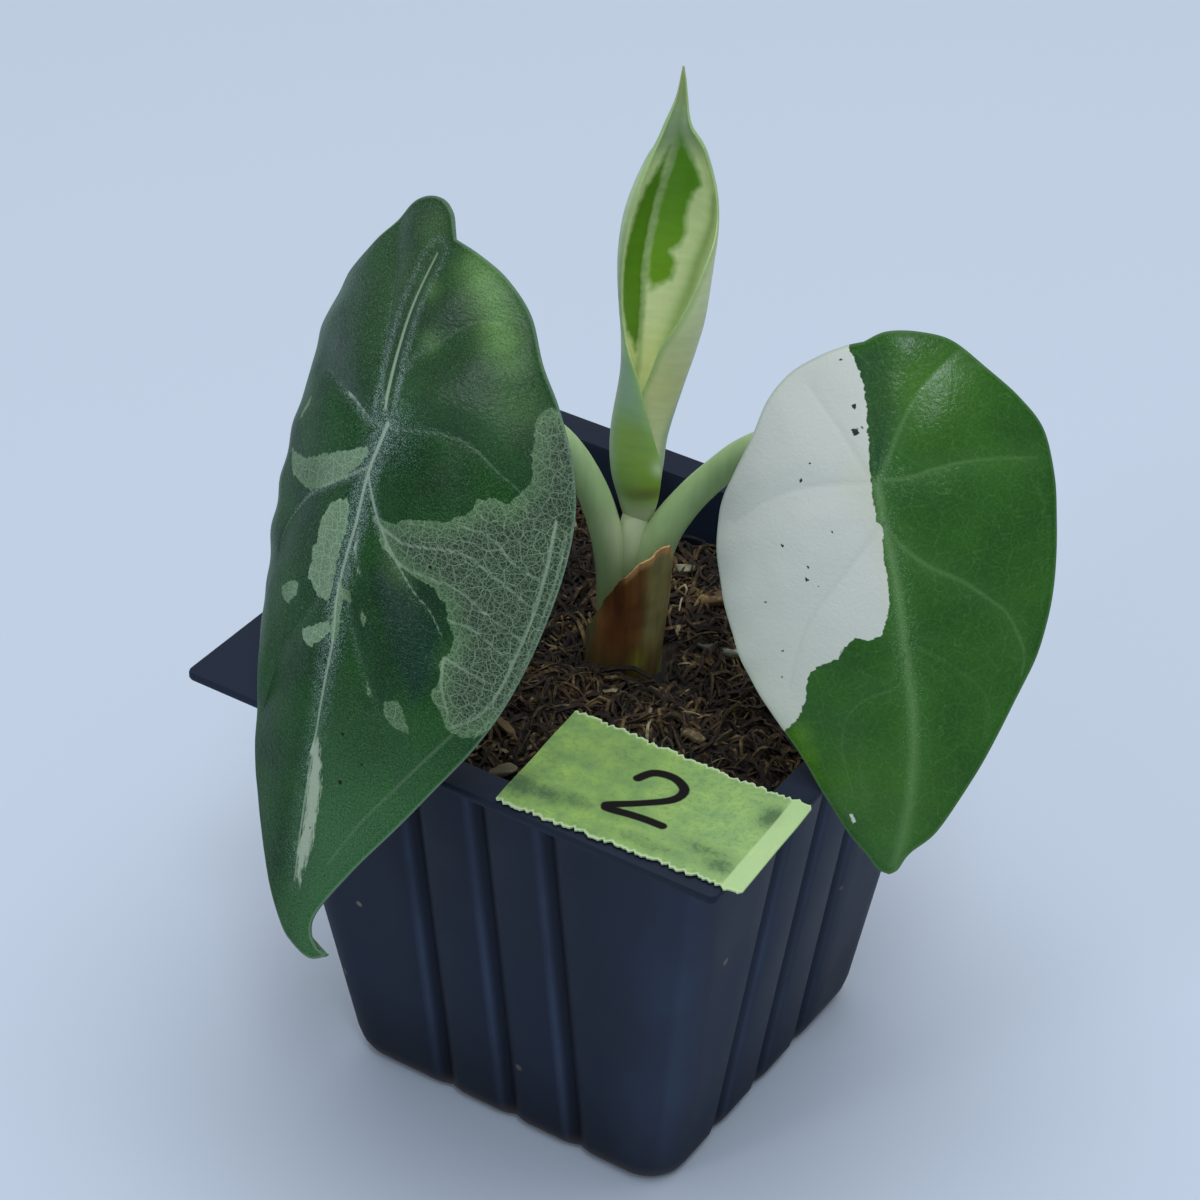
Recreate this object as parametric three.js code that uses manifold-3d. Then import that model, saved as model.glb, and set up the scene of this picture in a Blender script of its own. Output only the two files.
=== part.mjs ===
// A small variegated alocasia in a square nursery pot: two shield-shaped blades on arching
// stalks, a furled new blade between them, a brown sheath round their foot, dried moss
// in the pot and a strip of paper tape on its lip. Millimetres, +Z up, origin under the
// middle of the pot, the pot's sides along X and Y.
import * as THREE from "three";
import { mergeVertices } from "three/addons/utils/BufferGeometryUtils.js";
import Module from "manifold-3d";

const wasm = await Module();
wasm.setup();

// Driving dimensions
const RIM_SIDE = 70;          // outer side of the pot's square lip
const POT_HEIGHT = 60;
const FOOT_SIDE = 46;         // outer side of the pot's foot
const SHOULDER_SIDE = 62.4;   // outer side of the wall where it meets the lip
const LIP_WIDTH = 4.5;
const LIP_THICKNESS = 1.2;
const WALL = 0.9;
const FLOOR = 1.2;
const FOOT_RADIUS = 4;        // corner radius of the foot
const SHOULDER_RADIUS = 6;    // corner radius of the wall under the lip
const CREASE_DEPTH = 1.3;     // the three grooves down each side
const CREASE_PITCH = 9.3;
const CREASE_SHIFT = 1.5;     // the grooves lie this far towards the front and back corners
const DRAIN_RADIUS = 3.5;
const DRAIN_PLACE = 13;       // drain holes, off the middle in X and in Y
const SOIL_LEVEL = 54;
const CLEARANCE = 0.3;        // left between pieces that touch
const BLADE_THICKNESS = 0.7;
const STEM_MIDDLE = [0.2, 3.9];   // middle of the stems where they leave the moss
const STEM_HOLE_RADIUS = 5.9;
const STEM_HOLE_FLOOR = 38;

const { sin, cos, PI, exp, abs, max, min, hypot } = Math;
const radians = THREE.MathUtils.degToRad;
const point = (x, y, z) => new THREE.Vector3(x, y, z);

// A repeatable stream of numbers from 0 to 1
function seededDraws(seed) {
  let state = seed;
  return () => {
    state = (state * 1664525 + 1013904223) % 4294967296;
    return state / 4294967296;
  };
}

// Closed bodies

// A geometry from points and triangles, turned so that its faces point out
function closedBody(points, triangles) {
  let volume = 0;
  const turn = new THREE.Vector3();
  for (const [a, b, c] of triangles) volume += points[a].dot(turn.crossVectors(points[b], points[c]));
  const faces = volume < 0 ? triangles.map(([a, b, c]) => [a, c, b]) : triangles;
  const geometry = new THREE.BufferGeometry();
  geometry.setAttribute("position", new THREE.Float32BufferAttribute(points.flatMap((p) => p.toArray()), 3));
  geometry.setIndex(faces.flat());
  return geometry;
}

// A body through rings of equal count, closed by a fan at each end
function loft(rings) {
  const count = rings[0].length;
  const points = rings.flat();
  const triangles = [];
  for (let r = 0; r + 1 < rings.length; r++) {
    for (let i = 0; i < count; i++) {
      const a = r * count + i;
      const b = r * count + (i + 1) % count;
      triangles.push([a, b, b + count], [a, b + count, a + count]);
    }
  }
  const middleOf = (ring) => ring.reduce((sum, p) => sum.add(p), point(0, 0, 0)).divideScalar(count);
  const last = (rings.length - 1) * count;
  points.push(middleOf(rings[0]), middleOf(rings[rings.length - 1]));
  for (let i = 0; i < count; i++) {
    const next = (i + 1) % count;
    triangles.push([next, i, points.length - 2], [last + i, last + next, points.length - 1]);
  }
  return closedBody(points, triangles);
}

function toSolid(geometry) {
  const bare = geometry.clone();
  bare.deleteAttribute("normal");
  bare.deleteAttribute("uv");
  const merged = mergeVertices(bare, 1e-5);
  return new wasm.Manifold(new wasm.Mesh({
    numProp: 3,
    vertProperties: new Float32Array(merged.attributes.position.array),
    triVerts: new Uint32Array(merged.index.array),
  }));
}

function toGeometry(solid) {
  const mesh = solid.getMesh();
  const geometry = new THREE.BufferGeometry();
  geometry.setAttribute("position", new THREE.BufferAttribute(new Float32Array(mesh.vertProperties), 3));
  geometry.setIndex(new THREE.BufferAttribute(new Uint32Array(mesh.triVerts), 1));
  return geometry;
}

function uprightCylinder(x, y, bottom, top, radius, sides) {
  const cylinder = new THREE.CylinderGeometry(radius, radius, top - bottom, sides);
  return cylinder.rotateX(PI / 2).translate(x, y, (bottom + top) / 2);
}

// A round stem along a smooth curve, its radius read from a list spread along it
function stem(places, radii, sides, steps) {
  const curve = new THREE.CatmullRomCurve3(places.map((p) => point(...p)), false, "centripetal");
  const frames = curve.computeFrenetFrames(steps, false);
  const rings = [];
  for (let k = 0; k <= steps; k++) {
    const middle = curve.getPointAt(k / steps);
    const at = (k / steps) * (radii.length - 1);
    const low = min(Math.floor(at), radii.length - 2);
    const radius = THREE.MathUtils.lerp(radii[low], radii[low + 1], at - low);
    const ring = [];
    for (let i = 0; i < sides; i++) {
      const angle = (2 * PI * i) / sides;
      ring.push(middle.clone()
        .addScaledVector(frames.normals[k], radius * cos(angle))
        .addScaledVector(frames.binormals[k], radius * sin(angle)));
    }
    rings.push(ring);
  }
  return loft(rings);
}

// Pot

const shoulderHeight = POT_HEIGHT - LIP_THICKNESS;
const wallHalf = (z) => THREE.MathUtils.lerp(FOOT_SIDE, SHOULDER_SIDE, z / shoulderHeight) / 2;
const wallRadius = (z) => THREE.MathUtils.lerp(FOOT_RADIUS, SHOULDER_RADIUS, z / shoulderHeight);

// How far the wall stands back at a distance from the nearest groove
const grooveRecess = (distance) => CREASE_DEPTH * max(0, 1 - distance / (CREASE_PITCH / 2)) ** 6;

// One level ring of the pot's section, with every side's grooves, as 72 points
function potSection(z, half, radius, groovesShown = true) {
  const ring = [];
  const flat = half - radius;
  for (let side = 0; side < 4; side++) {
    const shift = side % 2 ? -CREASE_SHIFT : CREASE_SHIFT;
    const stations = [-flat];
    for (const groove of [-1, 0, 1]) {
      const middle = shift + groove * CREASE_PITCH;
      if (groove === -1) stations.push(middle - CREASE_PITCH / 2);
      stations.push(middle - 0.9, middle, middle + 0.9, middle + CREASE_PITCH / 2);
    }
    stations.push(flat);
    const outline = stations.map((along) => {
      const grooves = [-1, 0, 1].map((k) => abs(along - shift - k * CREASE_PITCH));
      return [along, -half + (groovesShown ? grooveRecess(min(...grooves)) : 0)];
    });
    for (const turned of [22.5, 45, 67.5]) {
      outline.push([flat + radius * sin(radians(turned)), -flat - radius * cos(radians(turned))]);
    }
    const quarter = (side * PI) / 2;
    for (const [x, y] of outline) {
      ring.push(point(x * cos(quarter) - y * sin(quarter), x * sin(quarter) + y * cos(quarter), z));
    }
  }
  return ring;
}

const wallRing = (z, inset) => potSection(z, wallHalf(z) - inset, max(wallRadius(z) - inset, 1));

function potGeometry() {
  const lipRing = (z) => wallRing(shoulderHeight, 0).map((p) => {
    const stretch = RIM_SIDE / 2 / max(abs(p.x), abs(p.y));
    return point(p.x * stretch, p.y * stretch, z);
  });
  const lipInside = RIM_SIDE / 2 - LIP_WIDTH;
  const shell = toSolid(loft([
    wallRing(0, 1.2), wallRing(0.4, 0.4), wallRing(1.4, 0), wallRing(shoulderHeight, 0),
    lipRing(shoulderHeight), lipRing(POT_HEIGHT),
    potSection(POT_HEIGHT, lipInside, SHOULDER_RADIUS, false),
    wallRing(shoulderHeight - 1, WALL), wallRing(FLOOR + 1, WALL + 0.1), wallRing(FLOOR, WALL + 1),
  ]));
  let pot = shell;
  for (const x of [-DRAIN_PLACE, DRAIN_PLACE]) {
    for (const y of [-DRAIN_PLACE, DRAIN_PLACE]) {
      pot = pot.subtract(toSolid(uprightCylinder(x, y, -1, FLOOR + 1, DRAIN_RADIUS, 16)));
    }
  }
  return toGeometry(pot);
}

// Moss

// Height of the moss over a place in the pot: low lumps, and a little lower along the wall
function mossHeight(x, y) {
  const lumps = 0.7 * sin(0.42 * x + 1.1) * cos(0.37 * y - 0.6) + 0.45 * sin(0.9 * x - 0.7 * y);
  const edge = max(0, max(abs(x), abs(y)) / 28 - 0.75) * 5;
  return SOIL_LEVEL - 0.9 + lumps - edge;
}

// A bent strand of moss lying on the surface, its ends sunk in
function mossStrand(draw) {
  const reach = 23;
  const x = (draw() * 2 - 1) * reach;
  const y = (draw() * 2 - 1) * reach;
  const heading = draw() * 2 * PI;
  const length = 7 + draw() * 7;
  const bend = (draw() - 0.5) * 2.2;
  const places = [];
  for (let k = 0; k <= 4; k++) {
    const along = (k / 4 - 0.5) * length;
    const turned = heading + bend * (k / 4 - 0.5);
    const px = x + along * cos(turned);
    const py = y + along * sin(turned);
    places.push([px, py, mossHeight(px, py) + 1.1 * sin((k / 4) * PI) - 0.5]);
  }
  return { places, far: max(...places.map(([px, py]) => max(abs(px), abs(py)))) };
}

function mossGeometry() {
  const gap = WALL + CLEARANCE + 0.1;
  const edge = SOIL_LEVEL - 2.6;
  const rings = [wallRing(FLOOR + CLEARANCE, gap + 1), wallRing(FLOOR + 2, gap + 0.2), wallRing(edge, gap)];
  const plainRing = potSection(edge, wallHalf(edge) - gap - CREASE_DEPTH, SHOULDER_RADIUS, false);
  for (const share of [0.96, 0.78, 0.52, 0.27]) {
    rings.push(plainRing.map(({ x, y }) => point(x * share, y * share, mossHeight(x * share, y * share))));
  }
  let moss = toSolid(loft(rings));
  const draw = seededDraws(11);
  const strands = [];
  while (strands.length < 30) {
    const strand = mossStrand(draw);
    if (strand.far < 26.5) strands.push(toSolid(stem(strand.places, [0.5, 0.8, 0.8, 0.5], 4, 5)));
  }
  moss = wasm.Manifold.union([moss, ...strands]);
  const hole = uprightCylinder(...STEM_MIDDLE, STEM_HOLE_FLOOR, POT_HEIGHT, STEM_HOLE_RADIUS, 20);
  const plug = moss.subtract(toSolid(hole));
  const pieces = plug.decompose().sort((a, b) => b.volume() - a.volume());
  return toGeometry(pieces[0]);
}

// Stems

// The knob that the stalks grow from, hidden in the moss
function rhizomeGeometry() {
  const profile = [[0, 0], [2.6, 0.3], [4.3, 1.8], [4.7, 3.6], [4.1, 5.6], [3.9, 7.2], [0, 7.2]];
  const lathe = new THREE.LatheGeometry(profile.map(([r, z]) => new THREE.Vector2(r, z)), 16);
  return toGeometry(toSolid(lathe.rotateX(PI / 2).translate(...STEM_MIDDLE, STEM_HOLE_FLOOR + CLEARANCE)));
}
const stalkFoot = STEM_HOLE_FLOOR + CLEARANCE + 7.2 + CLEARANCE;

// A dry sheath leaf: a curled sheet that climbs from the left of the stems to a tip at their right
const SHEATH_MIDDLE = [-0.15, 3.7];
const SHEATH_INSIDE = 4.5;
const SHEATH_THICKNESS = 0.6;
function sheathGeometry() {
  const steps = 18;
  const start = radians(-138);
  const end = radians(66);
  const foot = SOIL_LEVEL - 4;
  const levels = 5;
  const place = (share, level, radius) => {
    const angle = start + (end - start) * share;
    const tip = 0.65;
    const topHere = share < tip ? SOIL_LEVEL + 4.3 + 13.1 * sin((PI / 2) * share / tip) ** 1.1
      : SOIL_LEVEL + 17.4 - 14 * (share - tip) / (1 - tip);
    const z = foot + (topHere - foot) * level;
    const reach = radius + 0.12 * max(0, z - 65.5);
    return point(SHEATH_MIDDLE[0] + reach * cos(angle), SHEATH_MIDDLE[1] + reach * sin(angle), z);
  };
  return sheetBody(steps, levels, (i, j, face) => {
    return place(i / steps, j / levels, SHEATH_INSIDE + (face ? SHEATH_THICKNESS : 0));
  });
}

// A closed sheet from a grid of places, on face 1 and on face 0, with both faces split alike
function sheetBody(columns, rows, placeOf) {
  const points = [];
  const triangles = [];
  const index = (i, j, face) => (face * (rows + 1) + j) * (columns + 1) + i;
  for (const face of [0, 1]) {
    for (let j = 0; j <= rows; j++) {
      for (let i = 0; i <= columns; i++) points.push(placeOf(i, j, face));
    }
  }
  for (let j = 0; j < rows; j++) {
    for (let i = 0; i < columns; i++) {
      const corners = (face) => [index(i, j, face), index(i + 1, j, face), index(i + 1, j + 1, face), index(i, j + 1, face)];
      const [a, b, c, d] = corners(1);
      const [e, f, g, h] = corners(0);
      triangles.push([a, b, c], [a, c, d], [e, g, f], [e, h, g]);
    }
  }
  const strip = (from, to) => {
    const [a, b] = [from(1), to(1)];
    const [c, d] = [from(0), to(0)];
    triangles.push([b, a, c], [b, c, d]);
  };
  for (let i = 0; i < columns; i++) {
    strip((face) => index(i, 0, face), (face) => index(i + 1, 0, face));
    strip((face) => index(i + 1, rows, face), (face) => index(i, rows, face));
  }
  for (let j = 0; j < rows; j++) {
    strip((face) => index(columns, j, face), (face) => index(columns, j + 1, face));
    strip((face) => index(0, j + 1, face), (face) => index(0, j, face));
  }
  return closedBody(points, triangles);
}

// Blades

// A blade is a flat pattern, u across and v from its stalk towards its tip, that is bent:
// it droops along v, and each half is folded and curled back from the midrib along u.
// heading, dip and roll turn the whole blade; fold is in degrees, the rest in degrees a mm.
const leftBlade = {
  joint: [-10.7, -28.4, 97.8], heading: -96, dip: 66, roll: -7.5,
  fold: 4.3, curl: 1.46, droopToTip: 0.2, droopToBack: 0.48,
  quilting: 0.75, rows: 26,
  columns: [-1, -0.84, -0.66, -0.48, -0.3, -0.14, -0.045, 0, 0.045, 0.14, 0.3, 0.48, 0.66, 0.84, 1],
  midline: [[0.5, -21], [-1.7, -14.5], [-1.6, -7], [-0.4, 0], [-1.2, 7], [-1.4, 14], [-1, 24],
    [-0.5, 36], [-0.4, 46], [0.3, 53], [2.6, 58], [5.8, 60]],
  rightMargin: [[0.5, -21], [4, -20.6], [8, -19.5], [11.8, -17], [15, -12.6], [18, -9], [21, -4],
    [22.8, 1.5], [23.3, 8], [22.6, 16], [21, 23.5], [18.6, 29.8], [15.2, 36], [11.7, 42],
    [8.2, 47.5], [5.4, 52.2], [3.6, 55.5], [3.1, 57.6], [3.8, 59.4], [5.8, 60]],
  leftMargin: [[0.5, -21], [-1.2, -23.3], [-4, -24.2], [-7.5, -23], [-11, -19.4], [-15, -14.4],
    [-18.4, -9.6], [-21, -4.5], [-22.5, 1], [-23.2, 7], [-23, 14], [-21.8, 20], [-19.6, 25],
    [-17.2, 30], [-15.2, 36], [-12.4, 42.5], [-9.2, 48], [-6.2, 53], [-2.8, 57.8], [0.4, 60.4],
    [3.4, 61.3], [5.8, 60]],
  veins: [
    [[-0.4, 0], [-1.5, -7], [-1.8, -14], [0.2, -20]],
    [[-1.3, 5], [-6.1, 8.3], [-11.3, 12], [-16, 17], [-18.5, 24]],
    [[-1, 0], [-9, -0.8], [-16, -1.2], [-21, 2]],
    [[-1, -2], [-5, -9.8], [-7, -14.7], [-9.5, -20]],
    [[-0.3, -2], [0.5, -7], [4, -11.6], [7, -14.3], [10.5, -15]],
    [[0.8, 0], [6.5, -1.7], [10.4, -1.6], [14, -0.2], [20.5, 3]],
    [[-0.5, 7], [2.3, 9.6], [7.2, 14.8], [12, 20], [16, 27]],
    [[-1.2, 17], [3, 24], [8, 31], [11, 38]],
    [[-1.2, 17], [-5.5, 23], [-10, 30], [-12.5, 38]],
  ],
};
const rightBlade = {
  joint: [32.5, -0.9, 92.4], heading: -47, dip: 58, roll: -20,
  fold: 4, curl: 1.48, droopToTip: 0.36, droopToBack: 0.7,
  quilting: 0.4, rows: 22,
  columns: [-1, -0.8, -0.6, -0.4, -0.2, -0.06, 0, 0.06, 0.2, 0.4, 0.6, 0.8, 1],
  midline: [[-0.4, -14.9], [-0.2, -9], [0, 0], [0.9, 7], [1.5, 13], [1.9, 20], [1.9, 26],
    [1.4, 32], [0.2, 37.5], [-2.2, 43.1]],
  rightMargin: [[-0.4, -14.9], [2, -15.8], [5.5, -15.6], [9, -14.5], [12.5, -11.4], [16, -8],
    [18.4, -4.4], [19.3, 0.5], [19.1, 7], [18.2, 13.5], [16, 20], [12.8, 25.2], [9.8, 30],
    [6.6, 34.4], [3.2, 38.6], [0.3, 40.7], [-1.2, 42.6], [-2.2, 43.1]],
  leftMargin: [[-0.4, -14.9], [-2.6, -14.6], [-5.4, -13.8], [-8.6, -12.4], [-11.4, -9.8],
    [-13.6, -6], [-16.4, -1.8], [-18.8, 2.4], [-19.5, 7.5], [-18.8, 14], [-17, 20], [-14, 25],
    [-11, 29.4], [-8.6, 34], [-6.2, 38.4], [-4.4, 40.8], [-3.4, 42.5], [-2.2, 43.1]],
  veins: [
    [[0, 0], [-0.2, -7], [-0.4, -14]],
    [[0.7, -0.7], [3.3, -6.4], [5.7, -10], [9.5, -13.6]],
    [[0.5, 0], [7, -1.1], [11, -1.6], [17.5, -1.4]],
    [[0.5, 4.4], [5, 9.4], [11.3, 13.7], [14.4, 19.6]],
    [[1.8, 17], [7.5, 21], [10, 24.5], [9.5, 29]],
    [[-0.7, -0.7], [-3.5, -6], [-6.5, -10.5]],
    [[-0.5, 0], [-7, 0], [-12, 1], [-17, 3.5]],
    [[0.5, 4.4], [-4, 9.4], [-8.7, 15], [-11.5, 22]],
    [[1.8, 17], [-2.5, 23], [-6, 28.6], [-5.2, 34]],
  ],
};

// Turns the blade's own directions into the pot's frame
function bladeAxes({ heading, dip, roll }) {
  const [h, d, r] = [heading, dip, roll].map(radians);
  const toTip = point(cos(d) * cos(h), cos(d) * sin(h), -sin(d));
  const upright = point(sin(d) * cos(h), sin(d) * sin(h), cos(d));
  const sideways = upright.clone().cross(toTip);
  const out = upright.multiplyScalar(cos(r)).addScaledVector(sideways, sin(r));
  return { toTip, out, across: out.clone().cross(toTip) };
}

// A place on the bent blade, lifted from its middle surface along its normal
function bladePlace(blade, axes, u, v, lift) {
  const fold = radians(blade.fold);
  const curl = radians(blade.curl);
  const droop = radians(v > 0 ? blade.droopToTip : blade.droopToBack);
  const turned = fold + curl * abs(u);
  const side = u < 0 ? -1 : 1;
  const away = (sin(turned) - sin(fold)) / curl;
  const back = (cos(fold) - cos(turned)) / curl;
  const bent = droop * v;
  const x = side * (away + lift * sin(turned));
  const outward = lift * cos(turned) - back;
  const y = sin(bent) / droop + sin(bent) * outward;
  const z = (cos(bent) - 1) / droop + cos(bent) * outward;
  return point(...blade.joint)
    .addScaledVector(axes.across, x)
    .addScaledVector(axes.toTip, y)
    .addScaledVector(axes.out, z);
}

const flatCurve = (places) => new THREE.SplineCurve(places.map(([u, v]) => new THREE.Vector2(u, v)));

function distanceTo(samples, u, v) {
  let nearest = Infinity;
  for (let k = 0; k + 1 < samples.length; k++) {
    const [a, b] = [samples[k], samples[k + 1]];
    const [du, dv] = [b.x - a.x, b.y - a.y];
    const share = THREE.MathUtils.clamp(((u - a.x) * du + (v - a.y) * dv) / (du * du + dv * dv), 0, 1);
    nearest = min(nearest, hypot(u - a.x - share * du, v - a.y - share * dv));
  }
  return nearest;
}

// The blade between its margins: valleys along the veins above, the midrib's ridge below
function bladeGeometry(blade) {
  const axes = bladeAxes(blade);
  const midline = flatCurve(blade.midline);
  const margins = { left: flatCurve(blade.leftMargin), right: flatCurve(blade.rightMargin) };
  const midribPath = midline.getSpacedPoints(30);
  const veinPaths = [midribPath, ...blade.veins.map((vein) => flatCurve(vein).getSpacedPoints(10))];
  const patternPlace = (share, t) => {
    const middle = midline.getPointAt(t ** 1.3);
    const margin = (share < 0 ? margins.left : margins.right).getPointAt(t);
    return middle.lerp(margin, abs(share));
  };
  const placeOf = (i, j, face) => {
    const { x: u, y: v } = patternPlace(blade.columns[i], j / blade.rows);
    const quilt = blade.quilting * (1 - exp(-((min(...veinPaths.map((path) => distanceTo(path, u, v))) / 2.6) ** 2)));
    const fromMidrib = distanceTo(midribPath, u, v);
    const ridge = 0.8 * max(0, 1 - fromMidrib / 1.1) * max(0.25, 1 - abs(v) / 55);
    const lift = quilt + (face ? BLADE_THICKNESS / 2 : -BLADE_THICKNESS / 2 - ridge);
    return bladePlace(blade, axes, u, v, lift);
  };
  const sheet = sheetBody(blade.columns.length - 1, blade.rows, placeOf);
  return withoutSlivers(sheet);
}

// Joins the points that fall together where a sheet runs to a point
function withoutSlivers(geometry) {
  const merged = mergeVertices(geometry, 1e-4);
  const index = merged.index.array;
  const kept = [];
  for (let k = 0; k < index.length; k += 3) {
    const [a, b, c] = [index[k], index[k + 1], index[k + 2]];
    if (a !== b && b !== c && a !== c) kept.push(a, b, c);
  }
  merged.setIndex(kept);
  return merged;
}

// The place under a blade's joint, a distance back along its normal
function behindJoint(blade, distance) {
  return point(...blade.joint).addScaledVector(bladeAxes(blade).out, -distance).toArray();
}

// Stalks, each to just under its blade
const stalkGap = BLADE_THICKNESS / 2 + 0.8 + CLEARANCE + 0.1;
const leftStalk = stem([
  [-1.6, 2.6, stalkFoot], [-1.7, 2.6, 54], [-2.2, 2.7, 61], [-2.7, 2.6, 66], [-3.3, 2, 71], [-4.1, 0.6, 76.5],
  [-5.5, -1.5, 82], [-6.8, -4.8, 86.4], [-8.4, -10.5, 90], behindJoint(leftBlade, 8),
  behindJoint(leftBlade, 4), behindJoint(leftBlade, stalkGap),
], [1.95, 1.95, 1.95, 1.85, 1.8, 1.75, 1.7, 1.6, 1.5, 1.5], 12, 26);
const rightStalk = stem([
  [2, 4.4, stalkFoot], [2, 4.5, 54], [1.8, 4.7, 61], [2, 5, 66.6], [3.1, 6, 71.2], [5.4, 7.1, 75.7],
  [8, 7.8, 79.7], [11.2, 8, 83.4], [15.1, 8.1, 86.4], [19.7, 8.1, 88.2], [24.3, 7, 89.1], [28.4, 4.7, 89.9],
  behindJoint(rightBlade, 3), behindJoint(rightBlade, stalkGap),
], [1.8, 1.8, 1.8, 1.8, 1.8, 1.7, 1.7, 1.6, 1.5, 1.5], 12, 28);
const newStalk = stem([
  [-0.9, 6.5, stalkFoot], [-0.9, 6.6, 54], [-1, 6.9, 62], [-1.3, 7.1, 67], [-1.4, 6.8, 71.6],
], [1.25, 1.25, 1.25, 1.3], 10, 8);

// The furled blade: a sheet curled about a leaning axis, open to the front above and rolled up
// below. Each row gives a place on the axis, the curl's radius, the turn of its right margin,
// and how far past the left side its left margin comes, which lies over the right one below.
const rollRows = [
  { axis: [-1.2, 6.4, 72.2], radius: 1.5, right: -120, left: 130 },
  { axis: [-1.5, 6.7, 74.4], radius: 2.3, right: -120, left: 140 },
  { axis: [-1.9, 7.2, 77.4], radius: 2.8, right: -100, left: 134 },
  { axis: [-2.4, 8.5, 81.4], radius: 3.1, right: -60, left: 106 },
  { axis: [-2.4, 10.5, 87], radius: 3.5, right: -22, left: 60 },
  { axis: [-2.6, 12, 91], radius: 4.1, right: -4, left: 24 },
  { axis: [-2.9, 13.2, 94.6], radius: 4.7, right: 22, left: 16 },
  { axis: [-3.6, 14.9, 100], radius: 5.2, right: 56, left: 22 },
  { axis: [-4.2, 16.6, 104], radius: 5.2, right: 84, left: 26 },
  { axis: [-4.6, 17.8, 107.5], radius: 4.5, right: 86, left: 28 },
  { axis: [-5.2, 19.1, 111], radius: 3.1, right: 80, left: 28 },
  { axis: [-6, 20, 113.8], radius: 1.6, right: 70, left: 28 },
  { axis: [-6.5, 21.3, 116.7], radius: 0.8, right: 60, left: 28 },
  { axis: [-7.2, 22.5, 119.8], radius: 0.35, right: 50, left: 28 },
];
const ROLL_FACING = -57.5;    // heading of the roll's front
function newBladeGeometry() {
  const columns = 22;
  const facing = point(cos(radians(ROLL_FACING)), sin(radians(ROLL_FACING)), 0);
  const middleOf = (j) => point(...rollRows[j].axis);
  return sheetBody(columns, rollRows.length - 1, (i, j, face) => {
    const { radius, right: start, left } = rollRows[j];
    const along = middleOf(min(j + 1, rollRows.length - 1)).sub(middleOf(max(j - 1, 0))).normalize();
    const front = facing.clone().addScaledVector(along, -facing.dot(along)).normalize();
    const right = along.clone().cross(front);
    const turn = THREE.MathUtils.lerp(start, 270 + left, i / columns);
    const spread = min(1, radius / 3);
    const rise = 1.15 * spread * (turn - 90) / 360;
    const thick = BLADE_THICKNESS * min(1, radius / 2.4);
    const reach = radius - thick / 2 + rise + (face ? thick / 2 : -thick / 2);
    return middleOf(j)
      .addScaledVector(front, reach * cos(radians(turn)))
      .addScaledVector(right, reach * sin(radians(turn)));
  });
}

// Tape

// Paper tape torn off a roll with a saw-toothed cutter, flat across one corner of the lip
const TAPE_THICKNESS = 0.5;
const TAPE_TOOTH = 0.5;
const TAPE_TEETH = 14;
const tapeCorners = { frontLeft: [7.1, -34.9], frontRight: [37, -33.3], backRight: [36, -16.3], backLeft: [5.5, -16.3] };
function tapeGeometry() {
  const { frontLeft, frontRight, backRight, backLeft } = tapeCorners;
  const jagged = (from, to, inward) => {
    const edge = [];
    for (let k = 0; k <= 2 * TAPE_TEETH; k++) {
      const share = k / (2 * TAPE_TEETH);
      const x = THREE.MathUtils.lerp(from[0], to[0], share);
      const y = THREE.MathUtils.lerp(from[1], to[1], share) + (k % 2) * TAPE_TOOTH * inward;
      edge.push(new THREE.Vector2(x, y));
    }
    return edge;
  };
  const outline = new THREE.Shape([...jagged(frontLeft, frontRight, 1), ...jagged(backRight, backLeft, -1)]);
  const sheet = new THREE.ExtrudeGeometry(outline, { depth: TAPE_THICKNESS, bevelEnabled: false });
  return toGeometry(toSolid(sheet.translate(0, 0, POT_HEIGHT + CLEARANCE)));
}

// The assembly
const finish = (color, roughness) => new THREE.MeshStandardMaterial({ color, roughness, metalness: 0 });
const plant = new THREE.Group();
const pieces = [
  ["pot", potGeometry(), finish(0x232a3a, 0.45)],
  ["moss", mossGeometry(), finish(0x5a4630, 0.95)],
  ["rhizome", rhizomeGeometry(), finish(0x6b4a2e, 0.8)],
  ["stalk_left", leftStalk, finish(0x8fa77c, 0.45)],
  ["stalk_right", rightStalk, finish(0x93aa7e, 0.45)],
  ["stalk_new", newStalk, finish(0xaebb98, 0.45)],
  ["sheath", sheathGeometry(), finish(0x7a4a22, 0.7)],
  ["blade_left", bladeGeometry(leftBlade), finish(0x27492f, 0.5)],
  ["blade_right", bladeGeometry(rightBlade), finish(0x2c5f2a, 0.4)],
  ["blade_new", newBladeGeometry(), finish(0xa9bf86, 0.45)],
  ["tape", tapeGeometry(), finish(0x93b76b, 0.85)],
];
for (const [name, geometry, material] of pieces) {
  const piece = new THREE.Mesh(geometry, material);
  piece.name = name;
  plant.add(piece);
}

export default plant;
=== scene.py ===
import math

import bpy
import numpy as np
from mathutils import Matrix, Vector, noise


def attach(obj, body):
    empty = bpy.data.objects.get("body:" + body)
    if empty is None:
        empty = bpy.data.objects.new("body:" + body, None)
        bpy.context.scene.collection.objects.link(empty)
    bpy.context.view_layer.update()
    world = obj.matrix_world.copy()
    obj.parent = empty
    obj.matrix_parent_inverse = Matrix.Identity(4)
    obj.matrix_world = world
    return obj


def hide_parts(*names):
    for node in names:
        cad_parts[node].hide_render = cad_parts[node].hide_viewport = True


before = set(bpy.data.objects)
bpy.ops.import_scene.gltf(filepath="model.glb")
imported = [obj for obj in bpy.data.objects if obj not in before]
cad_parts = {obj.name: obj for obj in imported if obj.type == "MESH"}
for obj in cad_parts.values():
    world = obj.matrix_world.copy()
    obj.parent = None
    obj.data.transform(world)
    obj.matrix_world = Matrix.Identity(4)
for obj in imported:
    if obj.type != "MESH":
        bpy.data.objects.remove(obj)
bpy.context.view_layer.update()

MM = 0.001

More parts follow.
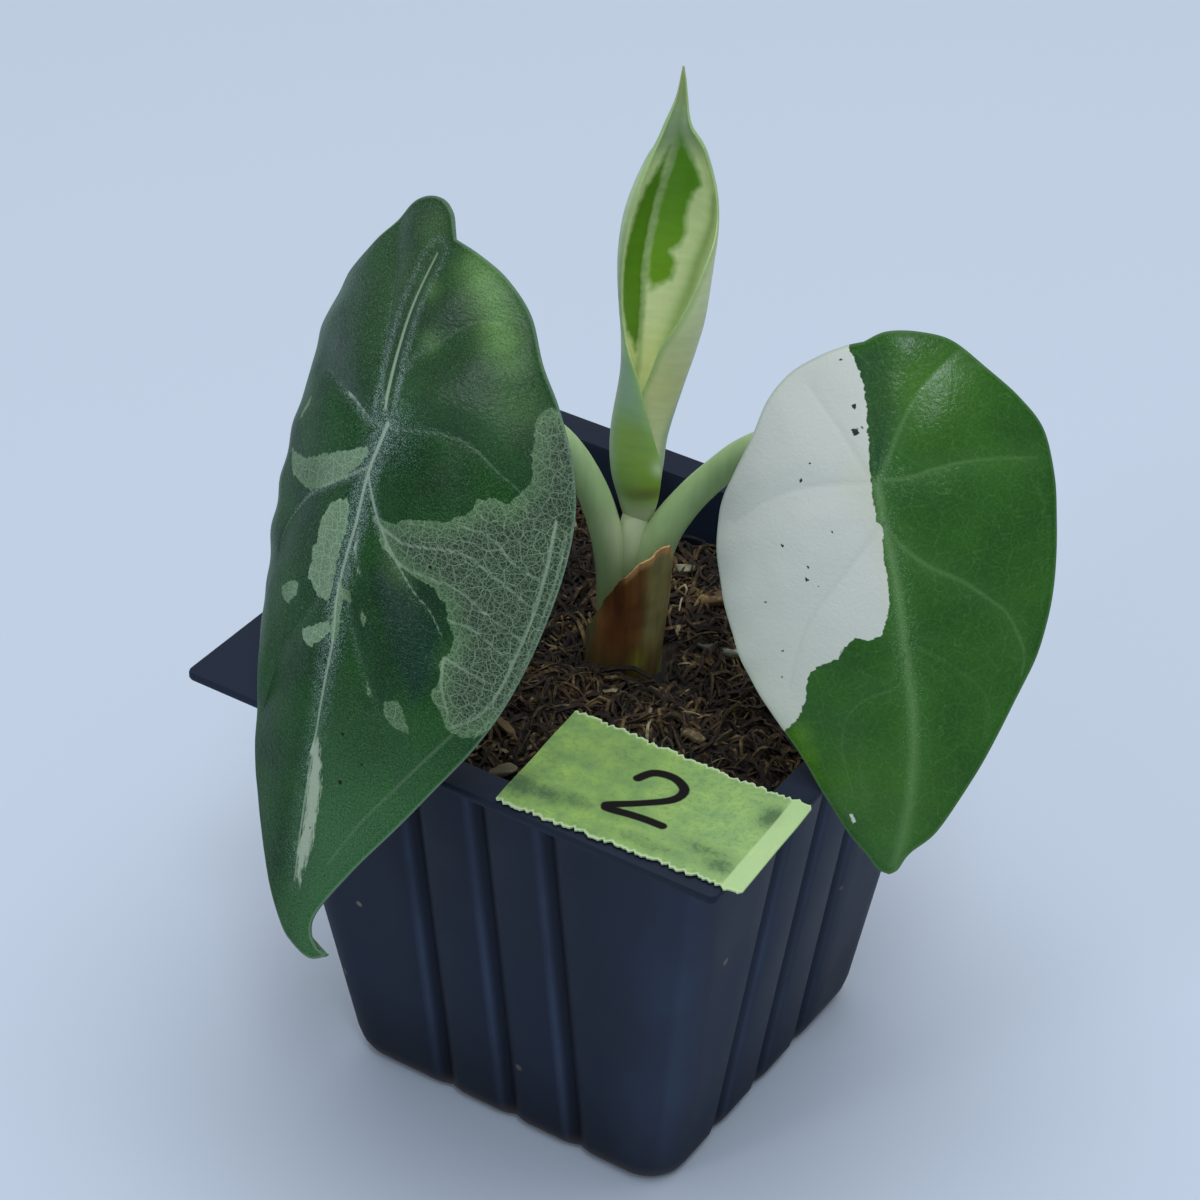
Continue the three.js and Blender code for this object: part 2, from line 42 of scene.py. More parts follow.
# Pot
RIM_SIDE = 70
POT_HEIGHT = 60
FOOT_SIDE = 46
SHOULDER_SIDE = 62.4
LIP_WIDTH = 4.5
LIP_THICKNESS = 1.2
WALL = 0.9
FLOOR_THICKNESS = 1.2
FOOT_RADIUS = 5.3
SHOULDER_RADIUS = 6
CREASE_DEPTH = 1.3
CREASE_HALF_WIDTH = 2
CREASE_PITCH = 9.3
CREASE_SHIFT = 1.5
DRAIN_RADIUS = 3.5
DRAIN_PLACE = 13
CORNER_STEPS = 9
SOIL_LEVEL = 54

# Plant
STEM_MIDDLE = (0.2, 3.9)
SHEATH_MIDDLE = (-0.3, 3.6)
SHEATH_RADIUS = 4.35
SHEATH_THICKNESS = 0.22
SHEATH_LOW = 4.3
SHEATH_RISE = 13.1
SHEATH_TOP = 17.4
STEM_HOLE_FLOOR = 38
STEM_CLEARANCE = 5
BLADE_THICKNESS = 0.62
RAISED_VEINS = 10
VEIN_TROUGH = 2.6
QUILT_FADE = 26
MARGIN_BAND = 0.7
RIPPLE_HEIGHT = 0.07
RIPPLE_SIZE = 3.2
SCALLOP_PITCH = 6.2
OUTLINE_POINTS = 400
STRAND_POINTS = 6


# Tools

def unselect():
    """Leaves edit mode and drops every selection."""
    if bpy.context.mode != "OBJECT":
        bpy.ops.object.mode_set(mode="OBJECT")
    bpy.ops.object.select_all(action="DESELECT")


def alone(piece):
    unselect()
    piece.select_set(True)
    bpy.context.view_layer.objects.active = piece


def places(piece):
    """The piece's vertices in millimetres."""
    found = np.empty(len(piece.data.vertices) * 3)
    piece.data.vertices.foreach_get("co", found)
    return found.reshape(-1, 3) / MM


def put(piece, found):
    piece.data.vertices.foreach_set("co", (np.asarray(found, float) * MM).ravel())
    piece.data.update()


def store(piece, name, values):
    """Keeps a number, or a vector, for each vertex, for the material to read."""
    values = np.asarray(values, np.float32)
    if values.ndim == 1:
        piece.data.attributes.new(name, "FLOAT", "POINT").data.foreach_set("value", values)
    else:
        piece.data.attributes.new(name, "FLOAT_VECTOR", "POINT").data.foreach_set("vector", values.ravel())


def stored(piece, name):
    found = np.empty(len(piece.data.vertices) * 3, np.float32)
    piece.data.attributes[name].data.foreach_get("vector", found)
    return found.reshape(-1, 3).astype(float)


def numbers(piece, name):
    found = np.empty(len(piece.data.vertices), np.float32)
    piece.data.attributes[name].data.foreach_get("value", found)
    return found.astype(float)


def modify(piece, kind, **settings):
    """Adds a modifier and applies it."""
    alone(piece)
    added = piece.modifiers.new(kind.lower(), kind)
    for key, value in settings.items():
        setattr(added, key, value)
    bpy.ops.object.modifier_apply(modifier=added.name)


def weld(piece):
    """Merges the points that fall together, and turns the faces out."""
    alone(piece)
    bpy.ops.object.mode_set(mode="EDIT")
    bpy.ops.mesh.select_all(action="SELECT")
    bpy.ops.mesh.remove_doubles(threshold=0.002 * MM)
    bpy.ops.mesh.normals_make_consistent(inside=False)
    bpy.ops.object.mode_set(mode="OBJECT")


def smooth(piece, degrees=40):
    alone(piece)
    bpy.ops.object.shade_smooth_by_angle(angle=math.radians(degrees))


def grid(name, columns, rows):
    """A flat grid, with each vertex's column and row."""
    unselect()
    bpy.ops.mesh.primitive_grid_add(x_subdivisions=columns, y_subdivisions=rows, size=2)
    piece = bpy.context.object
    piece.name = name
    flat = places(piece) * MM
    column = np.rint((flat[:, 0] + 1) / 2 * columns).astype(int)
    row = np.rint((flat[:, 1] + 1) / 2 * rows).astype(int)
    return piece, column, row


def lofted(name, rings, closed=True, **kept):
    """A grid shaped through rings of points: a closed body, or an open sheet."""
    def around(values):
        values = np.asarray(values, float)
        return np.concatenate([values, values[:, :1]], axis=1) if closed else values

    rings = around(rings)
    piece, column, row = grid(name, rings.shape[1] - 1, rings.shape[0] - 1)
    put(piece, rings[row, column])
    for key, values in kept.items():
        store(piece, key, around(values)[row, column])
    weld(piece)
    return piece


def flowing(rows, count):
    """Rows of numbers with smooth steps filled in between the given ones."""
    rows = np.asarray(rows, float)
    padded = np.vstack([rows[:1], rows, rows[-1:]])
    steps = np.linspace(0, len(rows) - 1, count)
    first = np.minimum(steps.astype(int), len(rows) - 2)
    share = (steps - first)[:, None]
    before, start, end, after = (padded[first + k] for k in range(4))
    leaving, arriving = (end - before) / 2, (after - start) / 2
    return (
        (2 * start - 2 * end + leaving + arriving) * share**3
        + (3 * end - 3 * start - 2 * leaving - arriving) * share**2
        + leaving * share + start
    )


def spline(points, count):
    """A smooth curve through the points, sampled evenly along its length."""
    return resample(flowing(points, 24 * len(points)), count)


def resample(curve, count):
    lengths = np.r_[0, np.cumsum(np.linalg.norm(np.diff(curve, axis=0), axis=1))]
    at = np.linspace(0, lengths[-1], count)
    return np.column_stack([np.interp(at, lengths, axis) for axis in curve.T])


def sample(evenly, share):
    """Places at shares 0 to 1 of a list of evenly spaced points."""
    at = np.clip(share, 0, 1) * (len(evenly) - 1)
    known = np.arange(len(evenly))
    return np.column_stack([np.interp(at, known, axis) for axis in evenly.T])


def nearest_on(line, flat):
    """Distance from each flat place to a line, and the share of the line that it is nearest to."""
    nearest = np.full(len(flat), 1e9)
    share = np.zeros(len(flat))
    for k, (a, b) in enumerate(zip(line[:-1], line[1:])):
        step = b - a
        along = np.clip(((flat - a) @ step) / max(step @ step, 1e-12), 0, 1)
        distance = np.linalg.norm(flat - a - along[:, None] * step, axis=1)
        closer = distance < nearest
        nearest[closer] = distance[closer]
        share[closer] = (k + along[closer]) / (len(line) - 1)
    return nearest, share


def depth_inside(outline, flat):
    """Distance from each flat place to an outline, above zero inside it and below zero outside."""
    closed = np.vstack([outline, outline[:1]])
    inside = np.zeros(len(flat), bool)
    for (ax, ay), (bx, by) in zip(closed[:-1], closed[1:]):
        if ay != by:
            crossing = (ay > flat[:, 1]) != (by > flat[:, 1])
            inside ^= crossing & (flat[:, 0] < (bx - ax) * (flat[:, 1] - ay) / (by - ay) + ax)
    distance, _ = nearest_on(closed, flat)
    return np.where(inside, distance, -distance)


def lumps(found, size, seed=0.0):
    """Smooth noise from -1 to 1 at each place, with bumps about that size."""
    return np.array([noise.noise(Vector(p) / size + Vector((seed, -seed, 2 * seed))) for p in found])


def eased(low, high, values):
    share = np.clip((values - low) / (high - low), 0, 1)
    return share * share * (3 - 2 * share)


def near(centre, width, values):
    """1 at the centre, falling smoothly to nothing."""
    return np.exp(-((values - centre) / width) ** 2)


# Material tools

def linear(hex_colour):
    """An sRGB hex colour as linear red, green, blue and alpha."""
    parts = [int(hex_colour[k:k + 2], 16) / 255 for k in (1, 3, 5)]
    return (*(p / 12.92 if p <= 0.04045 else ((p + 0.055) / 1.055) ** 2.4 for p in parts), 1)


def paint(tints, colour, share=1.0):
    """Lays a colour over a piece's tints, as thickly as the share says at each vertex."""
    share = np.broadcast_to(share, len(tints))[:, None]
    tints += (np.array(linear(colour)[:3]) - tints) * share


def add(material, kind, inputs=None, **settings):
    """Adds a node with its settings, and links or sets its inputs."""
    made = material.node_tree.nodes.new(kind)
    for key, value in settings.items():
        setattr(made, key, value)
    for socket, value in (inputs or {}).items():
        if isinstance(value, bpy.types.NodeSocket):
            material.node_tree.links.new(value, made.inputs[socket])
        else:
            made.inputs[socket].default_value = value
    return made.outputs


def attribute(material, name, output=2):
    """A stored number, or with output 0 or 1 a stored colour or place."""
    return add(material, "ShaderNodeAttribute", attribute_name=name)[output]


def object_place(material):
    return add(material, "ShaderNodeTexCoord")["Object"]


def mix(material, share, under, over):
    """One colour laid over another, each made by nodes or given in hex."""
    under, over = (linear(colour) if isinstance(colour, str) else colour for colour in (under, over))
    return add(material, "ShaderNodeMix", {0: share, 6: under, 7: over}, data_type="RGBA")[2]


def ranged(material, value, low, high, at_low, at_high):
    """Maps low to at_low and high to at_high, and goes no further at either end."""
    return add(material, "ShaderNodeMapRange", {0: value, 1: low, 2: high, 3: at_low, 4: at_high})[0]


def worked(material, operation, *values):
    return add(material, "ShaderNodeMath", dict(enumerate(values)), operation=operation)[0]


def times(material, one, other):
    return worked(material, "MULTIPLY", one, other)


def scaled(material, colour, share):
    return add(material, "ShaderNodeVectorMath", {0: colour, "Scale": share}, operation="SCALE")[0]


def stretched(material, place, scale, turn=0):
    """Places scaled along each axis and turned in their plane."""
    inputs = {"Vector": place, "Scale": scale, "Rotation": (0, 0, turn)}
    return add(material, "ShaderNodeMapping", inputs)[0]


def clouds(material, place, scale, detail, output=0, **more):
    """Smooth noise, as a number, or with output 1 as a vector."""
    inputs = {"Vector": place, "Scale": scale, "Detail": detail, **more}
    return add(material, "ShaderNodeTexNoise", inputs)[output]


def wandering(material, place, scale, detail, reach):
    """Flat places pushed about by smooth noise."""
    push = clouds(material, place, scale, detail, output=1)
    return add(material, "ShaderNodeVectorMath", {0: push, 1: (reach, reach, 0), 2: place},
               operation="MULTIPLY_ADD")[0]


def cell_edges(material, place, scale, **more):
    """Distance to the nearest edge in a flat net of cells."""
    return add(material, "ShaderNodeTexVoronoi", {"Vector": place, "Scale": scale, **more},
               feature="DISTANCE_TO_EDGE", voronoi_dimensions="2D")[0]


def bumps(material, height, strength, depth, below=None):
    """A bump of a depth in millimetres, laid over another one where that is given."""
    inputs = {"Height": height, "Strength": strength, "Distance": depth * MM}
    if below is not None:
        inputs["Normal"] = below
    return add(material, "ShaderNodeBump", inputs)[0]


def less_aslant(material, gloss, least):
    """Gloss that falls to a least share of itself where the surface is seen at a slant."""
    slant = add(material, "ShaderNodeLayerWeight", {"Blend": 0.5})["Facing"]
    return times(material, gloss, ranged(material, slant, 0.3, 0.8, 1, least))


def surface(name, colour, **settings):
    """A material with its shader, which takes a fixed or a made base colour."""
    material = bpy.data.materials.new(name)
    material.use_nodes = True
    shader = material.node_tree.nodes["Principled BSDF"]
    shader.inputs["Base Color"].default_value = linear(colour)
    for key, value in settings.items():
        shader.inputs[key.replace("_", " ")].default_value = value
    return material, shader


def feed(material, shader, **sockets):
    for key, value in sockets.items():
        material.node_tree.links.new(value, shader.inputs[key.replace("_", " ")])


# Pot

def wall_half(z):
    return (FOOT_SIDE + (SHOULDER_SIDE - FOOT_SIDE) * z / (POT_HEIGHT - LIP_THICKNESS)) / 2


def wall_radius(z):
    return FOOT_RADIUS + (SHOULDER_RADIUS - FOOT_RADIUS) * z / (POT_HEIGHT - LIP_THICKNESS)


def pot_section(z, half, radius, creases=1.0):
    """One level ring: four sides with their grooves, and four rounded corners."""
    ring = []
    flat = half - radius
    for side in range(4):
        shift = -CREASE_SHIFT if side % 2 else CREASE_SHIFT
        grooves = [shift + k * CREASE_PITCH for k in (-1, 0, 1)]
        offsets = [0.12, 0.35, 0.6, 0.9, 1.25, 1.6, 2.0, CREASE_PITCH / 2]
        stations = [-flat, -flat + 1]
        for k, groove in enumerate(grooves):
            stations += [groove - d for d in offsets[::-1][0 if k == 0 else 1:]]
            stations += [groove] + [groove + d for d in offsets]
        stations += [flat - 1, flat]
        for along in stations:
            distance = min(abs(along - groove) for groove in grooves)
            recess = CREASE_DEPTH * creases * max(0, 1 - distance / CREASE_HALF_WIDTH) ** 1.4
            ring.append((along, -half + recess))
        for turned in np.linspace(0, 90, CORNER_STEPS + 2)[1:-1]:
            a = math.radians(turned)
            ring.append((flat + radius * math.sin(a), -flat - radius * math.cos(a)))
        count = len(stations) + CORNER_STEPS
        c, s = math.cos(side * math.pi / 2), math.sin(side * math.pi / 2)
        for k in range(len(ring) - count, len(ring)):
            x, y = ring[k]
            ring[k] = (x * c - y * s, x * s + y * c)
    return np.array([(x, y, z) for x, y in ring])


def pot_piece():
    shoulder = POT_HEIGHT - LIP_THICKNESS
    rim_half = RIM_SIDE / 2

    def outside(z, inset=0.0):
        return pot_section(z, wall_half(z) - inset, max(wall_radius(z) - inset, 1.2), eased(-2, 5, z))

    def lip(z, inset):
        return pot_section(z, rim_half - inset, 0.9 - min(inset, 0.6), 0)

    def inner(z, inset):
        return pot_section(z, wall_half(z) - inset, max(wall_radius(z) - inset, 1), 0.9)

    def point(z):
        return outside(z) * [0, 0, 0] + [0, 0, z]

    mouth = rim_half - LIP_WIDTH
    rings = [point(0.5), outside(0.5) * [0.55, 0.55, 1], outside(0.5, 5), outside(0.15, 4), outside(0, 3.3)]
    rings += [outside(z, inset) for z, inset in ((0, 2.6), (0.35, 1.5), (1.1, 0.7), (2.3, 0.2), (4, 0))]
    rings += [outside(z) for z in np.linspace(8, shoulder - 1.4, 8)]
    rings += [outside(shoulder - 0.5, -0.1), outside(shoulder - 0.05, -0.5)]
    rings += [lip(shoulder + up, inset) for up, inset in ((0, 0.5), (0.05, 0.15), (0.3, 0))]
    rings += [lip(POT_HEIGHT - down, inset) for down, inset in ((0.35, 0), (0.08, 0.12), (0, 0.4))]
    rings += [pot_section(POT_HEIGHT, mouth + 0.6, SHOULDER_RADIUS, 0)]
    rings += [pot_section(POT_HEIGHT - 0.12, mouth + 0.2, SHOULDER_RADIUS, 0)]
    rings += [pot_section(POT_HEIGHT - 0.6, mouth, SHOULDER_RADIUS - 0.3, 0)]
    rings += [inner(shoulder - 2.2, WALL)]
    rings += [inner(z, WALL + 0.05) for z in (50, 44, 30, 10)]
    rings += [inner(FLOOR_THICKNESS + 0.9, WALL + 0.3), inner(FLOOR_THICKNESS, WALL + 1.2)]
    rings += [inner(FLOOR_THICKNESS, WALL + 1.2) * [0.5, 0.5, 1], point(FLOOR_THICKNESS)]
    piece = lofted("nursery_pot", rings)
    for x in (-DRAIN_PLACE, DRAIN_PLACE):
        for y in (-DRAIN_PLACE, DRAIN_PLACE):
            unselect()
            bpy.ops.mesh.primitive_cylinder_add(
                vertices=40, radius=DRAIN_RADIUS * MM, depth=6 * MM, location=(x * MM, y * MM, MM))
            drill = bpy.context.object
            modify(piece, "BOOLEAN", operation="DIFFERENCE", object=drill, solver="EXACT")
            bpy.data.objects.remove(drill)

    # Where the wall gets a painted highlight, along one shoulder of each groove and towards one end of each
    # side, and where it gets painted shade, in the grooves
    found = places(piece)
    painted_highlight = np.zeros(len(found))
    painted_groove_shade = np.zeros(len(found))
    for side in range(4):
        quarter = side * math.pi / 2
        along = found[:, 0] * math.cos(quarter) + found[:, 1] * math.sin(quarter)
        out = found[:, 0] * math.sin(quarter) - found[:, 1] * math.cos(quarter)
        on_side = (out > wall_half(found[:, 2]) - 2) & (found[:, 2] < shoulder - 0.6)
        shift = -CREASE_SHIFT if side % 2 else CREASE_SHIFT
        facing = 1 if side % 2 else -1
        for k in (-1, 0, 1):
            beside = (along - shift - k * CREASE_PITCH) * facing
            painted_highlight = np.maximum(painted_highlight, on_side * near(1.3, 0.42, beside))
            painted_groove_shade = np.maximum(painted_groove_shade, on_side * near(-0.5, 0.9, beside))
        corner = wall_half(found[:, 2]) - 1
        # Painted highlight towards one end of each side, and over the whole of each odd side
        reach, share, side_highlight = (7, 0.75, 0.3) if side % 2 else (10, 0.5, 0.04)
        painted_highlight = np.maximum(painted_highlight, on_side * side_highlight)
        painted_highlight = np.maximum(painted_highlight, share * on_side * eased(corner - reach, corner, -along * facing))
    store(piece, "painted_highlight", painted_highlight)
    store(piece, "painted_groove_shade", painted_groove_shade)
    smooth(piece, 32)
    return piece


def pot_plastic():
    # Thermoformed polypropylene, black with a blue cast, satin from the mould, with dust in
    # patches, faint vertical drag marks and a few crumbs stuck on
    material, shader = surface("thermoformed_polypropylene", "#222e45", Roughness=0.6, IOR=1.4,
                               Specular_IOR_Level=0.25)
    place = object_place(material)
    cloudy = clouds(material, place, 60, 4)
    drag = clouds(material, stretched(material, place, (900, 900, 25)), 1, 3)
    dust = ranged(material, cloudy, 0.42, 0.75, 0, 0.4)
    tone = mix(material, dust, "#172030", "#232d42")
    specks = add(material, "ShaderNodeTexVoronoi", {"Vector": place, "Scale": 140}, feature="F1")
    chosen = add(material, "ShaderNodeSeparateColor", {0: specks["Color"]})
    rare = worked(material, "GREATER_THAN", chosen[0], 0.5)
    close = ranged(material, specks["Distance"], 0.045, 0.085, 1, 0)
    on_crumb = times(material, rare, close)
    crumb_tone = mix(material, chosen[1], "#7d7668", "#3a2a20")
    tone = mix(material, on_crumb, tone, crumb_tone)
    height = add(material, "ShaderNodeSeparateXYZ", {0: place})[2]
    # Painted highlight on the groove shoulders and towards the corners, made patchy by the noise
    painted_highlight = attribute(material, "painted_highlight")
    highlight_patchiness = ranged(material, cloudy, 0.35, 0.65, 0.45, 0.95)
    painted_highlight = times(material, painted_highlight, highlight_patchiness)
    tone = mix(material, painted_highlight, tone, "#3b475e")
    # Painted shade in the grooves
    painted_groove_shade = attribute(material, "painted_groove_shade")
    painted_groove_shade = times(material, painted_groove_shade, 0.65)
    tone = mix(material, painted_groove_shade, tone, "#090d15")
    # Painted shade: the wall darkens towards the foot
    painted_foot_shade = ranged(material, height, 0, 16 * MM, 0.42, 1)
    tone = scaled(material, tone, painted_foot_shade)
    # A brownish band at the very foot of the wall
    brown_foot_band = ranged(material, height, 0.6 * MM, 3.2 * MM, 0.85, 0)
    tone = mix(material, brown_foot_band, tone, "#4d423f")
    rough = ranged(material, cloudy, 0.3, 0.7, 0.5, 0.68)
    bump = bumps(material, drag, 0.12, 0.05)
    feed(material, shader, Base_Color=tone, Roughness=rough, Normal=bump)
    return material


# Moss

def moss_height(x, y):
    lump = 0.7 * np.sin(0.42 * x + 1.1) * np.cos(0.37 * y - 0.6) + 0.45 * np.sin(0.9 * x - 0.7 * y)
    edge = np.maximum(0, np.maximum(abs(x), abs(y)) / 28 - 0.75) * 5
    return SOIL_LEVEL - 0.9 + lump - edge


def moss_bed():
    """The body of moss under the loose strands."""
    gap = WALL + 0.35
    edge = SOIL_LEVEL - 2.6
    rings = [pot_section(FLOOR_THICKNESS + 0.3, wall_half(2) - gap - 1, 3, 0) * [0, 0, 1]]
    rings += [pot_section(z, wall_half(z) - gap - inset, 4.5, 0.9)
              for z, inset in ((FLOOR_THICKNESS + 0.3, 1), (4, 0.2), (edge, 0))]
    top = pot_section(edge, wall_half(edge) - gap, 5, 0.9)
    for share in (0.985, 0.95, *np.linspace(0.9, 0.02, 46), 0):
        ring = top * [share, share, 1]
        ring[:, 2] = moss_height(ring[:, 0], ring[:, 1])
        rings.append(ring)
    piece = lofted("moss_bed", rings)
    found = places(piece)
    raised = found[:, 2] > SOIL_LEVEL - 6
    found[raised, 2] += 0.9 * lumps(found[raised], 1.7, 3) + 0.6 * lumps(found[raised], 0.8, 5) - 0.5
    off_stem = np.hypot(found[:, 0] - STEM_MIDDLE[0], found[:, 1] - STEM_MIDDLE[1])
    found[:, 2] -= np.where(found[:, 2] > SOIL_LEVEL - 8, 1.4 * np.exp(-(off_stem / 5.5) ** 4), 0)
    put(piece, found)
    smooth(piece, 180)
    return piece


def strands(name, seed, count, thickness, length, lift, reach=29.2):
    """Bent strands of moss lying on the bed, each a thin spline with a round section."""
    draw = np.random.default_rng(seed)
    curve = bpy.data.curves.new(name, "CURVE")
    curve.dimensions = "3D"
    curve.bevel_depth = MM
    curve.bevel_resolution = 0
    curve.use_fill_caps = True
    made = 0
    while made < count:
        x, y = draw.uniform(-reach, reach, 2)
        heading = draw.uniform(0, 2 * math.pi)
        size = draw.uniform(*length)
        bend = draw.normal(0, 2.2)
        steps = np.linspace(-0.5, 0.5, STRAND_POINTS)
        turned = heading + bend * steps
        px = x + np.cumsum(np.cos(turned)) * size / STRAND_POINTS - size / 2 * math.cos(heading)
        py = y + np.cumsum(np.sin(turned)) * size / STRAND_POINTS - size / 2 * math.sin(heading)
        off_stem = np.hypot(px - STEM_MIDDLE[0], py - STEM_MIDDLE[1]).min()
        if max(abs(px).max(), abs(py).max()) > reach or off_stem < STEM_CLEARANCE:
            continue
        rise = draw.uniform(*lift)
        arch = np.cos(steps * math.pi) * draw.uniform(0.2, 1.5) * rise
        tilt = draw.normal(0, 0.3) * steps * 2
        pz = moss_height(px, py) + arch + tilt + draw.normal(0, 0.15, STRAND_POINTS) + 0.1
        thick = thickness * draw.uniform(0.4, 1.6)
        path = curve.splines.new("POLY")
        path.points.add(STRAND_POINTS - 1)
        shape = thick * np.array([0.35, 0.85, 1, 1, 0.8, 0.3])
        for point, spot, radius in zip(path.points, zip(px, py, pz), shape):
            point.co = (*(Vector(spot) * MM), 1)
            point.radius = radius
        made += 1
    piece = bpy.data.objects.new(name, curve)
    bpy.context.scene.collection.objects.link(piece)
    alone(piece)
    bpy.ops.object.convert(target="MESH")
    piece = bpy.context.object
    piece.name = name
    smooth(piece, 80)
    return piece


def crumb(name, place, shape, turn):
    """A lumpy, flattened piece of stick or bark lying in the moss."""
    unselect()
    bpy.ops.mesh.primitive_uv_sphere_add(segments=28, ring_count=16, radius=0.5 * MM)
    piece = bpy.context.object
    piece.name = name
    unit = places(piece)
    found = np.sign(unit) * abs(2 * unit) ** 0.55 / 2 * shape
    found[:, 1:] *= 1 - 0.35 * abs(unit[:, :1])
    found += 0.3 * np.column_stack([lumps(found + turn, 1.1, seed) for seed in (1, 4, 7)])
    c, s = math.cos(math.radians(turn)), math.sin(math.radians(turn))
    put(piece, found @ np.array([[c, s, 0], [-s, c, 0], [0, 0, 1]]) + place)
    smooth(piece, 60)
    return piece


def moss_material(name, dark, middle, light):
    # Dried sphagnum: matt fibres that change from dark brown to ochre along and between strands
    material, shader = surface(name, middle, Roughness=0.9)
    place = object_place(material)
    broad = clouds(material, place, 260, 3)
    fine = clouds(material, place, 1500, 2)
    mixed = worked(material, "ADD", broad, fine)
    low = ranged(material, mixed, 0.75, 1.0, 0, 1)
    high = ranged(material, mixed, 1.02, 1.28, 0, 1)
    tone = mix(material, low, dark, middle)
    tone = mix(material, high, tone, light)
    damp = clouds(material, place, 95, 3)
    damp = ranged(material, damp, 0.36, 0.64, 0.45, 1.45)
    tone = scaled(material, tone, damp)
    bump = bumps(material, fine, 0.6, 0.15)
    feed(material, shader, Base_Color=tone, Normal=bump)
    return material


# Stems

def tube(name, points, radii, around=32, along=90):
    """A round stem along a curve, closed at both ends, its radius spread along it."""
    middle = spline(points, along)
    radius = np.interp(np.linspace(0, 1, along), np.linspace(0, 1, len(radii)), radii)
    ahead = np.gradient(middle, axis=0)
    ahead /= np.linalg.norm(ahead, axis=1)[:, None]
    side = np.cross(ahead[0], [0, 1, 0])
    rings = [np.repeat(middle[:1], around, axis=0)]
    turns = np.linspace(0, 2 * math.pi, around, endpoint=False)
    for k in range(along):
        side = side - ahead[k] * (side @ ahead[k])
        side /= np.linalg.norm(side)
        other = np.cross(ahead[k], side)
        ring = np.outer(np.cos(turns), side) + np.outer(np.sin(turns), other)
        rings.append(middle[k] + radius[k] * ring)
    rings.append(np.repeat(middle[-1:], around, axis=0))
    piece = lofted(name, rings)
    smooth(piece, 50)
    return piece


def stalk_tints(piece):
    """Stalks are palest where they part, and yellow-green and duller near the moss."""
    found = places(piece)
    tints = np.zeros((len(found), 3))
    paint(tints, "#a7c38a")
    paint(tints, "#a2bb8a", eased(80, 92, found[:, 2]))
    paint(tints, "#818f5c", eased(72, 62, found[:, 2]))
    paint(tints, "#6c7044", eased(62, 55, found[:, 2]))
    paint(tints, "#7d9c70", 0.5 * near(66, 7, found[:, 2]) * eased(2.5, -3, found[:, 0]))
    paint(tints, "#c6cdaa", 0.85 * near(71.5, 3.5, found[:, 2]) * near(-0.6, 1.6, found[:, 0]))
    store(piece, "tint", tints)


def sheath_piece(columns=120, rows=60):
    """The dry sheath leaf, a thin curled sheet that climbs round the foot of the stalks."""
    foot = SOIL_LEVEL - 4
    turns = np.linspace(-150, 66, columns)
    share = np.clip((turns + 138) / 204, 0, 1) / 0.65
    top = np.where(share < 1, SHEATH_LOW + SHEATH_RISE * np.sin(np.minimum(share, 1) * math.pi / 2) ** 1.1,
                   SHEATH_TOP - 14 * (share - 1) / 0.54)
    top += SOIL_LEVEL + 0.05 * np.sin(turns * 0.9) + 0.12 * np.sin(turns * 0.23)
    angle = np.radians(turns)
    rings = []
    for level in np.linspace(0, 1, rows):
        z = foot + (top - foot) * level
        fold = 0.1 * np.sin(11 * angle + 0.3 * z) + 0.05 * np.sin(31 * angle)
        reach = SHEATH_RADIUS + fold * level + 0.1 * np.maximum(0, z - 63)
        lean = 0.09 * np.minimum(0, z - 62)
        rings.append(np.column_stack([
            SHEATH_MIDDLE[0] + lean * 0.84 + reach * np.cos(angle),
            SHEATH_MIDDLE[1] + lean * 0.54 + reach * np.sin(angle), z]))
    heights = np.array([np.linspace(0, 1, rows)] * columns).T
    piece = lofted("dry_sheath", rings, closed=False, level=heights, turn=np.tile(turns, (rows, 1)))
    modify(piece, "SOLIDIFY", thickness=SHEATH_THICKNESS * MM, offset=0)
    found = places(piece)
    level = numbers(piece, "level")
    turn = numbers(piece, "turn")
    tints = np.zeros((len(found), 3))
    height = found[:, 2]
    paint(tints, "#6f4823")
    paint(tints, "#86804f", 0.9 * eased(-48, -24, turn))
    paint(tints, "#6c3f18", 0.8 * eased(-98, -88, turn) * eased(-45, -65, turn))
    paint(tints, "#4a2410", 0.85 * near(-78, 9, turn) * near(63, 4, height))
    paint(tints, "#6a6a40", eased(-105, -125, turn))
    paint(tints, "#55421f", 0.8 * eased(60, 55, height))
    paint(tints, "#8d8a2c", 0.8 * near(-38, 12, turn) * near(55.5, 1.6, height))
    paint(tints, "#c0935e", eased(0.93, 0.985, level) * eased(-80, -50, turn))
    store(piece, "tint", tints)
    smooth(piece, 40)
    return piece


def skin_material(name, scale, fibre, **settings):
    """A tinted skin, mottled at one scale and finely ribbed along its height."""
    material, shader = surface(name, "#808080", **settings)
    place = object_place(material)
    tint = attribute(material, "tint", 0)
    cloudy = clouds(material, place, scale, 4)
    drawn = stretched(material, place, (900, 900, 70))
    ribs = clouds(material, drawn, 1, 3)
    mixed = worked(material, "ADD", cloudy, ribs)
    shade = ranged(material, mixed, 0.7, 1.3, 1 - fibre, 1 + fibre)
    tone = scaled(material, tint, shade)
    bump = bumps(material, ribs, fibre, 0.06)
    feed(material, shader, Base_Color=tone, Normal=bump)
    return material


def bark_material():
    # Rough brown bark of the knob that the stalks grow from
    material, shader = surface("rhizome_bark", "#5a3f28", Roughness=0.8)
    grain = clouds(material, object_place(material), 900, 4)
    feed(material, shader, Base_Color=mix(material, grain, "#3d2918", "#7b5a39"))
    return material


# Blades

